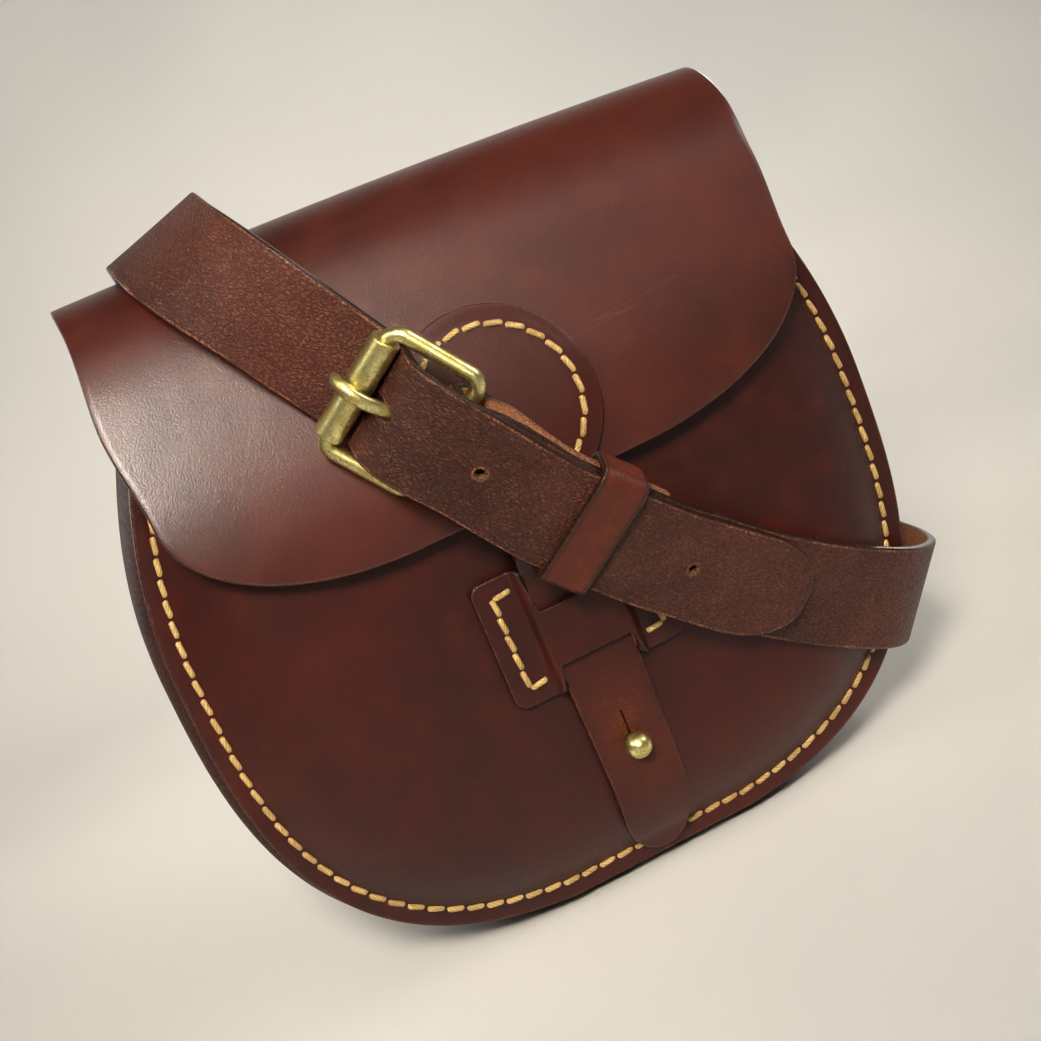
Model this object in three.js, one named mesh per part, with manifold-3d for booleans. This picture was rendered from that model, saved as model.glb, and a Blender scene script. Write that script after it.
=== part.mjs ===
// A small leather crossbody bag with a rounded bottom, standing on its base with its strap wrapped round it.
// Units are millimetres, +Z is up, the front faces -Y, and the origin is the middle of the flat base.
import * as THREE from "three";
import { mergeVertices } from "three/addons/utils/BufferGeometryUtils.js";
import Module from "manifold-3d";

// Leather and clearances
const LEATHER = 3;
const GAP = 0.3;

// Body: outline of the front and back panels, and the gusset between them
const HALF_WIDTH = 116.5;
const MOUTH_HALF_WIDTH = 96.5;
const WIDEST_Z = 120;
const MOUTH_Z = 198;
const EDGE_Z = 4;
const CORNER_POWER = 2.85;
const FOOT_CUT = 1;
const HALF_DEPTH = 24;
const SEAM_MARGIN = 6;
const FRONT_BULGE = 14;
const BULGE_RISE = 36;
const BULGE_POWER = 2.4;
const MOUTH_DRAW_START_Z = 140;
const MOUTH_DRAW_SHARE = 0.8;
const GUSSET_FLANGE = 9;
const GUSSET_BULGE = EDGE_Z;
const GUSSET_WEB = [-1, -0.88, -0.5, 0.5, 0.88, 1];
const GUSSET_SHOULDER = 0.75;

// Flap: one piece with the back panel, over the top and down the front
const FLAP_HALF_WIDTH = 103;
const FOLD_HALF_WIDTH = 105.5;
const FLAP_END_HALF = 36;
const FLAP_CORNER_HEIGHT = 36;
const FLAP_START_Z = 198;
const FLAP_END_Z = 134;
const FLAP_START_Y = -34;
const FLAP_LEAN = 15.5;
const FOLD_HANDLE = 44;
const FOLD_CROWN = 2;
const FOLD_TILT = -0.04;
const FOLD_SHIFT = 3;
const FOLD_SETTLE_HEIGHT = 26;

// Closing tongue, its keeper and its stud
const TONGUE_X = 0;
const TONGUE_HALF = 12.5;
const HEAD_RADIUS = 30.5;
const HEAD_CAP = 0.08;
const HEAD_Z = 160;
const TONGUE_LOW_HALF = 11.2;
const TONGUE_DROP = { top: 133, bottom: 106 };
const TONGUE_TIP = { z: 8.5, taper: 17, half: 4 };
const KEEPER = { halfX: 28.5, halfZ: 20.5, z: 94, corner: 4, ramp: 3, wall: 2.5 };
const BRIDGE = { halfX: 13.2, halfZ: 8.8, z: 91 };
const STUD = { z: 49, shank: 2.1, neck: 2.6, ball: 4.2, screw: 4.6, screwWall: 1.4 };

// Strap, buckle and rivets
const STRAP_HALF = 17.2;
const STRAP_STEP = 6;
const HOLE = { first: 40, pitch: 36, count: 3, radius: 2.2 };
const PRONG_HOLE = { past: 10, halfLength: 5, halfWidth: 3.1 };
const TAIL = { length: 154, taper: 24, endHalf: 5 };
const BUCKLE = { wire: 2.4, length: 28, half: 20.5, corner: 4, roller: 4.5, rollerHalf: 16.9, strapCut: 1.6 };
const PRONG = { hook: 0.9 };
const TURNED_END = 94;
const FOLD_SETTLE = 26;
const SLOT = { start: 19, end: 37, half: 3.1 };
const LOOP = { centre: 76.5, half: 7.5, wall: 2.4 };
const RIVET = { shank: 2.2, head: 5.2, headWall: 2, fromEnd: 12 };

// The strap's middle line, from the left rivet on the back, down and up in a slack loop, over the top,
// across the front, round the right side and up to the right rivet. ax, ay, az point across the strap.
const STRAP_ROUTE = [
  { x: -61, y: 28.8, z: 192, ax: 1, ay: 0, az: 0 },
  { x: -61, y: 28.8, z: 150, ax: 1, ay: 0, az: 0 },
  { x: -61, y: 29.0, z: 95, ax: 1, ay: 0, az: 0 },
  { x: -61, y: 29.6, z: 50, ax: 1, ay: 0, az: 0 },
  { x: -61, y: 32.6, z: 31, ax: 1, ay: 0, az: 0 },
  { x: -61, y: 40, z: 23.5, ax: 1, ay: 0, az: 0 },
  { x: -61, y: 47.6, z: 30, ax: 1, ay: 0, az: 0 },
  { x: -61, y: 50.5, z: 48, ax: 1, ay: 0, az: 0 },
  { x: -61, y: 49.5, z: 95, ax: 1, ay: 0, az: 0 },
  { x: -61, y: 45.5, z: 152, ax: 1, ay: 0, az: 0 },
  { x: -61, y: 40, z: 204, ax: 0.99, ay: 0, az: 0.06 },
  { x: -63.5, y: 28, z: 232, ax: 0.98, ay: 0, az: 0.2 },
  { x: -66, y: 4, z: 243.2, ax: 0.95, ay: 0, az: 0.3 },
  { x: -64.1, y: -27.4, z: 235.9, ax: 0.88, ay: -0.19, az: 0.43 },
  { x: -54.4, y: -44.3, z: 219.4, ax: 0.78, ay: -0.31, az: 0.54 },
  { x: -33.7, y: -52.2, z: 185.7, ax: 0.72, ay: -0.4, az: 0.57, name: "roller" },
  { x: -17.9, y: -60.7, z: 163.1, ax: 0.7, ay: -0.43, az: 0.58 },
  { x: -1.5, y: -62.7, z: 136.2, ax: 0.68, ay: -0.42, az: 0.61 },
  { x: 13.8, y: -61.6, z: 119, ax: 0.64, ay: -0.38, az: 0.67 },
  { x: 29.4, y: -58.5, z: 102.2, ax: 0.63, ay: -0.35, az: 0.69 },
  { x: 49.9, y: -54.1, z: 82.7, ax: 0.59, ay: -0.29, az: 0.75 },
  { x: 75.5, y: -47.8, z: 63.5, ax: 0.56, ay: -0.24, az: 0.79 },
  { x: 98.4, y: -38.2, z: 49.1, ax: 0.55, ay: -0.16, az: 0.82 },
  { x: 113.2, y: -20, z: 41.2, ax: 0.61, ay: 0, az: 0.79 },
  { x: 118.7, y: 0, z: 39, ax: 0.61, ay: 0, az: 0.79 },
  { x: 114.5, y: 22.5, z: 43.5, ax: 0.63, ay: 0, az: 0.78 },
  { x: 101, y: 35.5, z: 59, ax: 0.71, ay: 0, az: 0.7 },
  { x: 85, y: 33, z: 90, ax: 0.85, ay: 0, az: 0.53 },
  { x: 67, y: 28.9, z: 135, ax: 0.93, ay: 0, az: 0.36 },
  { x: 57, y: 28.8, z: 168, ax: 0.96, ay: 0, az: 0.28 },
  { x: 51, y: 28.8, z: 190, ax: 0.96, ay: 0, az: 0.28 },
];

// How far the tail of the long strap stands above the short strap's middle line, by distance past the roller.
const TAIL_LIFT = [
  { past: 0, lift: 0 },
  { past: 3, lift: 0.3 },
  { past: 6, lift: 2.8 },
  { past: 10, lift: 8.5 },
  { past: 14, lift: 12 },
  { past: 18, lift: 13.4 },
  { past: 23, lift: 13.6 },
  { past: 29, lift: 12.9 },
  { past: 40, lift: 9.9 },
  { past: 55, lift: 7.1 },
  { past: 66, lift: 6.6 },
  { past: 98, lift: 6.6 },
  { past: 120, lift: 4.4 },
  { past: 156, lift: 4 },
];

// The prong's middle line from the top of its hook to its tip: distance past the roller, and lift.
const PRONG_LINE = [
  { past: 22, lift: 7.9, radius: 1.7 },
  { past: 15.5, lift: 8.5, radius: 1.9 },
  { past: 10, lift: 10.2, radius: 1.9 },
  { past: 5, lift: 12.4, radius: 1.9 },
  { past: 0, lift: 13.2, radius: 1.9 },
  { past: -4.5, lift: 12.2, radius: 1.8 },
  { past: -7.6, lift: 9.8, radius: 1.6 },
];

const wasm = await Module();
wasm.setup();
const V = (x, y, z) => new THREE.Vector3(x, y, z);
const clamp01 = (t) => Math.min(1, Math.max(0, t));
const smooth = (low, high, t) => THREE.MathUtils.smoothstep(t, low, high);
const steps = (count) => Array.from({ length: count + 1 }, (_, i) => i / count);

// A closed solid through a row of like sections. Each section runs along its outer side and back along its
// inner side, so the end caps are strips of quads. A ring joins its last section to its first.
function loft(sections, ring = false) {
  const size = sections[0].length;
  const index = [];
  const quad = (a, b, c, d) => index.push(a, b, c, a, c, d);
  const spans = ring ? sections.length : sections.length - 1;
  for (let row = 0; row < spans; row++) {
    const low = row * size;
    const high = ((row + 1) % sections.length) * size;
    for (let i = 0; i < size; i++) {
      const next = (i + 1) % size;
      quad(low + i, low + next, high + next, high + i);
    }
  }
  const last = (sections.length - 1) * size;
  for (let i = 0; !ring && i < size / 2 - 1; i++) {
    const across = size - 1 - i;
    quad(across, across - 1, i + 1, i);
    quad(last + i, last + i + 1, last + across - 1, last + across);
  }
  const position = sections.flat().flatMap((p) => [p.x, p.y, p.z]);
  const geometry = new THREE.BufferGeometry();
  geometry.setAttribute("position", new THREE.Float32BufferAttribute(position, 3));
  geometry.setIndex(signedVolume(position, index) < 0 ? index.reverse() : index);
  return geometry;
}

// Six times the signed volume inside a triangle mesh.
function signedVolume(position, index) {
  const corner = (i) => V(...position.slice(3 * i, 3 * i + 3));
  let sum = 0;
  for (let i = 0; i < index.length; i += 3) {
    const [a, b, c] = index.slice(i, i + 3).map(corner);
    sum += a.dot(b.cross(c));
  }
  return sum;
}

// Closed solids for the few cuts, and back to a plain mesh
function toSolid(geometry) {
  const bare = geometry.clone();
  bare.deleteAttribute("normal");
  bare.deleteAttribute("uv");
  const merged = mergeVertices(bare, 1e-4);
  const vertProperties = merged.attributes.position.array;
  const triVerts = new Uint32Array(merged.index.array);
  return new wasm.Manifold(new wasm.Mesh({ numProp: 3, vertProperties, triVerts }));
}

function fromSolid(solid) {
  const mesh = solid.getMesh();
  const geometry = new THREE.BufferGeometry();
  geometry.setAttribute("position", new THREE.Float32BufferAttribute(mesh.vertProperties, 3));
  geometry.setIndex(new THREE.Uint32BufferAttribute(mesh.triVerts, 1));
  return geometry;
}

function cut(geometry, tools) {
  const solids = tools.map(toSolid);
  return fromSolid(solids.reduce((left, tool) => left.subtract(tool), toSolid(geometry)));
}

// A cylinder for cutting a hole, centred on a point with its axis along a direction.
function punch(centre, direction, radius, length, sides = 12) {
  const turn = new THREE.Quaternion().setFromUnitVectors(V(0, 1, 0), direction.clone().normalize());
  const geometry = new THREE.CylinderGeometry(radius, radius, length, sides).applyQuaternion(turn);
  return geometry.translate(centre.x, centre.y, centre.z);
}

// Outline of the panels: half the width at a height
const LOWER_HEIGHT = WIDEST_Z - EDGE_Z + FOOT_CUT;

function halfWidthAt(z) {
  if (z <= WIDEST_Z) {
    const share = (WIDEST_Z - z) / LOWER_HEIGHT;
    return HALF_WIDTH * Math.pow(1 - Math.pow(share, CORNER_POWER), 1 / CORNER_POWER);
  }
  const share = (z - WIDEST_Z) / (MOUTH_Z - WIDEST_Z);
  return HALF_WIDTH - (HALF_WIDTH - MOUTH_HALF_WIDTH) * share * share;
}

// Heights for rows up the panel, close together where the outline turns.
function rowHeights(lower, upper) {
  const power = 2 / CORNER_POWER;
  const start = Math.acos(Math.pow((WIDEST_Z - EDGE_Z) / LOWER_HEIGHT, 1 / power));
  const turned = steps(lower).map((t) => Math.cos(start + t * (Math.PI / 2 - start)));
  const low = turned.map((c) => WIDEST_Z - LOWER_HEIGHT * Math.pow(Math.max(0, c), power));
  low[0] = EDGE_Z;
  const high = steps(upper).slice(1).map((t) => WIDEST_Z + t * (MOUTH_Z - WIDEST_Z));
  return [...low, ...high];
}

// The sewn edge as a line of points from the left of the mouth, round the bottom, to the right.
function outlinePoints(lower, upper) {
  const heights = rowHeights(lower, upper);
  const right = heights.map((z) => new THREE.Vector2(halfWidthAt(z), z));
  const left = right.map((p) => new THREE.Vector2(-p.x, p.y));
  return [...left.reverse(), ...right];
}

const OUTLINE = outlinePoints(24, 9);

// Distance from a point of the panel to its sewn edge.
function seamDistance(x, z) {
  let best = Infinity;
  for (let i = 0; i + 1 < OUTLINE.length; i++) {
    const a = OUTLINE[i];
    const run = OUTLINE[i + 1].clone().sub(a);
    const to = new THREE.Vector2(x, z).sub(a);
    const t = clamp01(to.dot(run) / run.lengthSq());
    best = Math.min(best, to.sub(run.multiplyScalar(t)).length());
  }
  return best;
}

// Front panel's outer face: flat at the seam, then swelling to a soft pillow that draws in at the mouth.
function frontY(x, z) {
  const rise = clamp01((seamDistance(x, z) - SEAM_MARGIN) / BULGE_RISE);
  const pillow = 1 - Math.pow(1 - rise, BULGE_POWER);
  const draw = clamp01((z - MOUTH_DRAW_START_Z) / (MOUTH_Z - MOUTH_DRAW_START_Z));
  return -HALF_DEPTH - LEATHER - FRONT_BULGE * pillow * (1 - MOUTH_DRAW_SHARE * draw * draw);
}

const frontPoint = (x, z) => V(x, frontY(x, z), z);

// Outward unit normal of the front panel, from small differences.
function frontNormal(x, z) {
  const d = 0.5;
  const slopeX = (frontY(x + d, z) - frontY(x - d, z)) / (2 * d);
  const slopeZ = (frontY(x, z + d) - frontY(x, z - d)) / (2 * d);
  return V(slopeX, -1, slopeZ).normalize();
}

function makeFrontPanel() {
  const across = steps(20).map((t) => 2 * t - 1);
  const sections = rowHeights(18, 8).map((z) => {
    const reach = halfWidthAt(z);
    const outer = across.map((s) => frontPoint(s * reach, z));
    const inner = across.map((s) => {
      const normal = frontNormal(s * reach, z);
      return frontPoint(s * reach, z).addScaledVector(normal, -LEATHER);
    });
    inner[0] = V(-reach, -HALF_DEPTH, z);
    inner[inner.length - 1] = V(reach, -HALF_DEPTH, z);
    inner.forEach((p) => (p.z = Math.max(EDGE_Z, p.z)));
    return [...outer, ...inner.reverse()];
  });
  const hole = punch(V(TONGUE_X, frontY(TONGUE_X, STUD.z), STUD.z), V(0, 1, 0), STUD.shank + GAP, 12);
  return cut(loft(sections), [hole]);
}

// Gusset: a strip round the sides and bottom, turned in at both edges so that the panels can be sewn to it
function makeGusset() {
  const inset = HALF_DEPTH - GAP;
  const path = outlinePoints(16, 5);
  const sections = path.map((p, i) => {
    const before = path[Math.max(0, i - 1)];
    const after = path[Math.min(path.length - 1, i + 1)];
    const run = after.clone().sub(before).normalize();
    const out = V(run.y, 0, -run.x);
    const bulge = GUSSET_BULGE * (1 - 0.7 * smooth(WIDEST_Z, MOUTH_Z, p.y));
    const shoulder = 1 - (1 - GUSSET_SHOULDER) * smooth(EDGE_Z, EDGE_Z + 12, p.y);
    const at = (deep, depth) => V(p.x, depth, p.y).addScaledVector(out, deep);
    const swell = (s) => (Math.abs(s) === 1 ? 0 : bulge * (Math.abs(s) > 0.6 ? shoulder : 1));
    const outer = [
      at(-GUSSET_FLANGE, -inset),
      ...GUSSET_WEB.map((s) => at(swell(s), s * inset)),
      at(-GUSSET_FLANGE, inset),
    ];
    const wall = inset - LEATHER;
    const inner = [
      at(-GUSSET_FLANGE, -wall),
      ...GUSSET_WEB.map((s) => at(swell(s) - LEATHER, s * wall)),
      at(-GUSSET_FLANGE, wall),
    ];
    return [...outer, ...inner.reverse()];
  });
  return loft(sections);
}

// Flap: the outer face's depth at a height on the front
function flapY(z) {
  const share = (FLAP_START_Z - z) / (FLAP_START_Z - FLAP_END_Z);
  return FLAP_START_Y - FLAP_LEAN * Math.sin((Math.PI / 2) * clamp01(share));
}

// Half the flap's width by the height above its lower edge, with rounded corners.
function flapHalfAt(above) {
  const turn = 1 - clamp01(above / FLAP_CORNER_HEIGHT);
  const high = smooth(FLAP_CORNER_HEIGHT, FLAP_START_Z - FLAP_END_Z, above);
  const flare = (FOLD_HALF_WIDTH - FLAP_HALF_WIDTH) * high;
  return FLAP_END_HALF + (FLAP_HALF_WIDTH - FLAP_END_HALF) * Math.sqrt(1 - turn * turn) + flare;
}

// The back panel and flap's outer line from the base, up the back, over the fold and down the front.
function backFlapLine() {
  const back = HALF_DEPTH + LEATHER;
  const rise = rowHeights(18, 5).map((z) => ({ y: back, z, half: halfWidthAt(z) }));
  const lean = (FLAP_LEAN * Math.PI) / 2 / (FLAP_START_Z - FLAP_END_Z);
  const down = new THREE.Vector2(-lean, -1).normalize();
  const fold = new THREE.CubicBezierCurve(
    new THREE.Vector2(back, MOUTH_Z),
    new THREE.Vector2(back, MOUTH_Z + FOLD_HANDLE),
    new THREE.Vector2(FLAP_START_Y, FLAP_START_Z).addScaledVector(down, -FOLD_HANDLE),
    new THREE.Vector2(FLAP_START_Y, FLAP_START_Z),
  );
  const widen = (t) => MOUTH_HALF_WIDTH + (FOLD_HALF_WIDTH - MOUTH_HALF_WIDTH) * smooth(0, 0.45, t);
  const over = steps(16).slice(1).map((t) => {
    const p = fold.getPoint(t);
    return { y: p.x, z: p.y, half: widen(t) };
  });
  const fall = steps(14).slice(1).map((t) => {
    const z = FLAP_START_Z - (FLAP_START_Z - FLAP_END_Z) * Math.sin((t * Math.PI) / 2);
    return { y: flapY(z), z, half: flapHalfAt(z - FLAP_END_Z) };
  });
  return [...rise, ...over, ...fall];
}

function makeBackFlap() {
  const line = backFlapLine();
  const across = steps(8).map((t) => 2 * t - 1);
  const sections = line.map((row, i) => {
    const before = line[Math.max(0, i - 1)];
    const after = line[Math.min(line.length - 1, i + 1)];
    const run = new THREE.Vector2(after.y - before.y, after.z - before.z).normalize();
    const high = smooth(FLAP_START_Z, FLAP_START_Z + FOLD_SETTLE_HEIGHT, row.z);
    const outer = across.map((s) => {
      const lift = FOLD_CROWN * (1 - s * s) + FOLD_TILT * s * row.half;
      return V(s * row.half + FOLD_SHIFT * high, row.y, row.z + lift * high);
    });
    const inner = outer.map((p) => p.clone().add(V(0, -run.y * LEATHER, run.x * LEATHER)));
    return [...outer, ...inner.reverse()];
  });
  return cut(loft(sections), [rivetHole(0), rivetHole(1)]);
}

// Tongue: a round head on the flap and a long strip down to the base, lying on what is under it
function tongueInnerY(z) {
  const edges = [-1, 0, 1].map((side) => frontY(TONGUE_X + side * TONGUE_HALF, z));
  const onFront = Math.min(...edges) - GAP - 0.25;
  const onFlap = flapY(Math.max(z, FLAP_END_Z)) - GAP;
  return onFront + (onFlap - onFront) * smooth(TONGUE_DROP.bottom, TONGUE_DROP.top, z);
}

function tongueHalf(z) {
  const taper = clamp01((z - TONGUE_TIP.z) / TONGUE_TIP.taper);
  const side = TONGUE_LOW_HALF + (TONGUE_HALF - TONGUE_LOW_HALF) * smooth(20, 100, z);
  const strip = TONGUE_TIP.half + (side - TONGUE_TIP.half) * Math.sin((taper * Math.PI) / 2);
  const chord = HEAD_RADIUS * HEAD_RADIUS - (z - HEAD_Z) * (z - HEAD_Z);
  const head = Math.sqrt(Math.max(0, chord));
  return z > HEAD_Z ? head : Math.max(head, strip);
}

function makeTongue() {
  const neck = HEAD_Z - Math.sqrt(HEAD_RADIUS * HEAD_RADIUS - TONGUE_HALF * TONGUE_HALF);
  const neckTurn = Math.acos((HEAD_Z - neck) / HEAD_RADIUS);
  const tip = steps(10).map((t) => TONGUE_TIP.z + t * TONGUE_TIP.taper);
  const strip = steps(22).slice(1).map((t) => tip[10] + t * (neck - tip[10]));
  const turns = steps(18).slice(1).map((t) => neckTurn + t * (Math.PI - HEAD_CAP - neckTurn));
  const head = turns.map((turn) => HEAD_Z - HEAD_RADIUS * Math.cos(turn));
  const sections = [...tip, ...strip, ...head].map((z) => {
    const slope = tongueInnerY(z + 0.5) - tongueInnerY(z - 0.5);
    const out = V(0, -1, slope).normalize();
    const half = tongueHalf(z);
    const across = [-1, -0.5, 0, 0.5, 1];
    const inner = across.map((s) => V(TONGUE_X + s * half, tongueInnerY(z), z));
    const outer = inner.map((p) => p.clone().addScaledVector(out, LEATHER));
    return [...outer, ...inner.reverse()];
  });
  const stud = V(TONGUE_X, frontY(TONGUE_X, STUD.z) - LEATHER, STUD.z);
  const slit = new THREE.BoxGeometry(1.2, 12, 10).translate(stud.x, stud.y, stud.z + 6);
  return cut(loft(sections), [punch(stud, V(0, 1, 0), STUD.neck + 2 * GAP, 12), slit]);
}

// Keeper: two sewn wings joined by a bridge that arches over the tongue
function makeTongueKeeper() {
  const base = frontY(TONGUE_X, KEEPER.z) - GAP;
  const bridge = LEATHER + 2 * GAP;
  const corner = KEEPER.corner;
  const foot = KEEPER.halfX - BRIDGE.halfX - KEEPER.ramp;
  const ramp = steps(5).map((t) => foot + t * (KEEPER.ramp + 1.5));
  const left = [0, 0.5, 1.5, corner, ...ramp, KEEPER.halfX].map((c) => c - KEEPER.halfX);
  const places = [...left, ...left.slice(0, -1).reverse().map((x) => -x)];
  const sections = places.map((x) => {
    const inward = KEEPER.halfX - Math.abs(x);
    const rise = smooth(BRIDGE.halfX, BRIDGE.halfX + KEEPER.ramp, Math.abs(x));
    const round = corner - Math.sqrt(corner * corner - Math.pow(corner - Math.min(inward + 0.2, corner), 2));
    const waist = smooth(BRIDGE.halfX - 1.5, BRIDGE.halfX + 1.5, Math.abs(x));
    const half = BRIDGE.halfZ + (KEEPER.halfZ - round - BRIDGE.halfZ) * waist;
    const middle = BRIDGE.z + (KEEPER.z - BRIDGE.z) * waist;
    const y = base - bridge * (1 - rise);
    const at = (side, deep) => V(TONGUE_X + x, y - deep, middle + side * half);
    return [at(-1, KEEPER.wall), at(1, KEEPER.wall), at(1, 0), at(-1, 0)];
  });
  return loft(sections);
}

// Stud: a ball on a neck, screwed through the front panel
function makeStud() {
  const inside = -LEATHER - GAP;
  const neckTop = LEATHER + 2 * GAP + 1.2;
  const ballY = neckTop + STUD.ball * 0.8;
  const ball = steps(8).map((t) => {
    const turn = -0.93 + t * (Math.PI / 2 + 0.93);
    return new THREE.Vector2(STUD.ball * Math.cos(turn), ballY + STUD.ball * Math.sin(turn));
  });
  ball[8].x = 0;
  const profile = [
    new THREE.Vector2(0, inside - STUD.screwWall),
    new THREE.Vector2(STUD.screw, inside - STUD.screwWall),
    new THREE.Vector2(STUD.screw, inside),
    new THREE.Vector2(STUD.shank, inside),
    new THREE.Vector2(STUD.shank, GAP),
    new THREE.Vector2(STUD.neck, GAP),
    new THREE.Vector2(STUD.neck, neckTop),
    ...ball,
  ];
  return new THREE.LatheGeometry(profile, 12);
}

// Strap frames: a point on the middle line with unit vectors along, across and out of the strap
const routeLine = new THREE.CatmullRomCurve3(STRAP_ROUTE.map((r) => V(r.x, r.y, r.z)));
const routeAcross = new THREE.CatmullRomCurve3(STRAP_ROUTE.map((r) => V(r.ax, r.ay, r.az)));
routeLine.arcLengthDivisions = 3000;
const ROUTE_LENGTH = routeLine.getLength();
const rollerShare = STRAP_ROUTE.findIndex((r) => r.name === "roller") / (STRAP_ROUTE.length - 1);
const ROLLER_AT = routeLine.getLengths(3000)[Math.round(rollerShare * 3000)];

function strapFrame(past) {
  const u = clamp01((ROLLER_AT + past) / ROUTE_LENGTH);
  const t = routeLine.getUtoTmapping(u);
  const along = routeLine.getTangent(t);
  const across = routeAcross.getPoint(t);
  across.addScaledVector(along, -across.dot(along)).normalize();
  return { point: routeLine.getPoint(t), along, across, out: along.clone().cross(across) };
}

// A point given by distance past the roller, distance across the strap and lift above its middle line.
function strapPoint(past, across, lift) {
  const f = strapFrame(past);
  return f.point.clone().addScaledVector(f.across, across).addScaledVector(f.out, lift);
}

// A leather band through stations of {past, lift, half}, with its thickness square to its own run.
function band(stations) {
  const middle = stations.map((s) => strapPoint(s.past, 0, s.lift));
  return loft(
    stations.map((s, i) => {
      const run = middle[Math.min(i + 1, middle.length - 1)].clone().sub(middle[Math.max(i - 1, 0)]);
      const across = strapFrame(s.past).across;
      const out = run.clone().cross(across).normalize();
      const at = (side, deep) => {
        return middle[i].clone().addScaledVector(across, side * s.half).addScaledVector(out, deep);
      };
      const deep = LEATHER / 2;
      return [at(-1, deep), at(1, deep), at(1, -deep), at(-1, -deep)];
    }),
  );
}

function tableAt(table, past, column) {
  const next = Math.max(1, table.findIndex((row) => row.past >= past));
  const [a, b] = [table[next - 1], table[next]];
  const before = table[Math.max(0, next - 2)];
  const after = table[Math.min(table.length - 1, next + 1)];
  const t = (past - a.past) / (b.past - a.past);
  const slopeA = ((b[column] - before[column]) / (b.past - before.past)) * (b.past - a.past);
  const slopeB = ((after[column] - a[column]) / (after.past - a.past)) * (b.past - a.past);
  const [t2, t3] = [t * t, t * t * t];
  const ends = a[column] * (2 * t3 - 3 * t2 + 1) + b[column] * (3 * t2 - 2 * t3);
  return ends + slopeA * (t3 - 2 * t2 + t) + slopeB * (t3 - t2);
}

const tailLift = (past) => (past <= 0 ? 0 : tableAt(TAIL_LIFT, past, "lift"));

function tailHalf(past) {
  const share = clamp01((past - TAIL.length + TAIL.taper) / TAIL.taper);
  return TAIL.endHalf + (STRAP_HALF - TAIL.endHalf) * Math.sqrt(1 - share * share);
}

// Where each rivet goes through the back: 0 is the left end of the strap and 1 the right.
function rivetPlace(end) {
  const past = end ? ROUTE_LENGTH - ROLLER_AT - RIVET.fromEnd : RIVET.fromEnd - ROLLER_AT;
  return strapPoint(past, 0, 0).setY(HALF_DEPTH + LEATHER);
}

function rivetHole(end) {
  return punch(rivetPlace(end), V(0, 1, 0), RIVET.shank + GAP, 12);
}

function makeLongStrap() {
  const start = -ROLLER_AT;
  const hanging = Math.round(ROLLER_AT / STRAP_STEP);
  const run = steps(hanging).map((t) => ({ past: start * (1 - t), lift: 0, half: STRAP_HALF }));
  const rise = steps(20).slice(1).map((t) => 40 * t);
  const flat = steps(10).slice(1).map((t) => 40 + t * (TAIL.length - TAIL.taper - 40));
  const tip = steps(9).slice(1).map((t) => TAIL.length - TAIL.taper * (1 - Math.sin((t * Math.PI) / 2)));
  const tail = [...rise, ...flat, ...tip].map((past) => ({ past, lift: tailLift(past), half: tailHalf(past) }));
  const holes = steps(HOLE.count - 1).map((t) => HOLE.first + HOLE.pitch * t * (HOLE.count - 1));
  const tools = holes.map((past) => {
    return punch(strapPoint(past, 0, tailLift(past)), strapFrame(past).out, HOLE.radius, 8, 10);
  });
  return cut(band([...run, ...tail]), [...tools, prongHole(), rivetHole(0)]);
}

// The long hole that the prong comes up through, as a box square to the strap.
function prongHole() {
  const f = strapFrame(PRONG_HOLE.past);
  const place = new THREE.Matrix4().makeBasis(f.along, f.across, f.out);
  place.setPosition(strapPoint(PRONG_HOLE.past, 0, tailLift(PRONG_HOLE.past)));
  const size = [2 * PRONG_HOLE.halfLength, 2 * PRONG_HOLE.halfWidth, 16];
  return new THREE.BoxGeometry(...size).applyMatrix4(place);
}

// Lift of the buckle's heel bar above the short strap's middle line.
const BAR_LIFT = LEATHER / 2 + 2.2 * GAP + BUCKLE.wire;

// The turned end lies against the bag and goes half round the heel bar. The strap then runs back above it,
// settles on it, and past its end sinks to the middle line.
function makeShortStrap() {
  const bar = BUCKLE.length;
  const over = LEATHER + GAP;
  const end = ROUTE_LENGTH - ROLLER_AT;
  const sunk = TURNED_END + 1 + FOLD_SETTLE;
  const liftAt = (past) => {
    const high = (2 * BAR_LIFT - over) * (1 - smooth(bar, bar + FOLD_SETTLE, past));
    return high + over * (1 - smooth(TURNED_END + 1, sunk, past));
  };
  const halfAt = (past) => STRAP_HALF - BUCKLE.strapCut * (1 - smooth(bar, bar + 12, past));
  const row = (past, lift) => ({ past, lift, half: halfAt(past) });
  const turned = steps(8).map((t) => row(TURNED_END + t * (bar - TURNED_END), 0));
  const wrap = steps(8).slice(1, -1).map((t) => {
    const angle = t * Math.PI;
    return row(bar - BAR_LIFT * Math.sin(angle), BAR_LIFT * (1 - Math.cos(angle)));
  });
  const above = steps(20).map((t) => bar + t * (sunk - bar));
  const beyond = steps(Math.round((end - sunk) / STRAP_STEP)).slice(1).map((t) => sunk + t * (end - sunk));
  const main = [...above, ...beyond].map((past) => row(past, liftAt(past)));
  const f = strapFrame(bar);
  const place = new THREE.Matrix4().makeBasis(f.along, f.across, f.out);
  place.setPosition(strapPoint((SLOT.start + SLOT.end) / 2, 0, BAR_LIFT));
  const slot = new THREE.BoxGeometry(SLOT.end - SLOT.start, 2 * SLOT.half, 20).applyMatrix4(place);
  return cut(band([...turned, ...wrap, ...main]), [slot, rivetHole(1)]);
}

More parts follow.
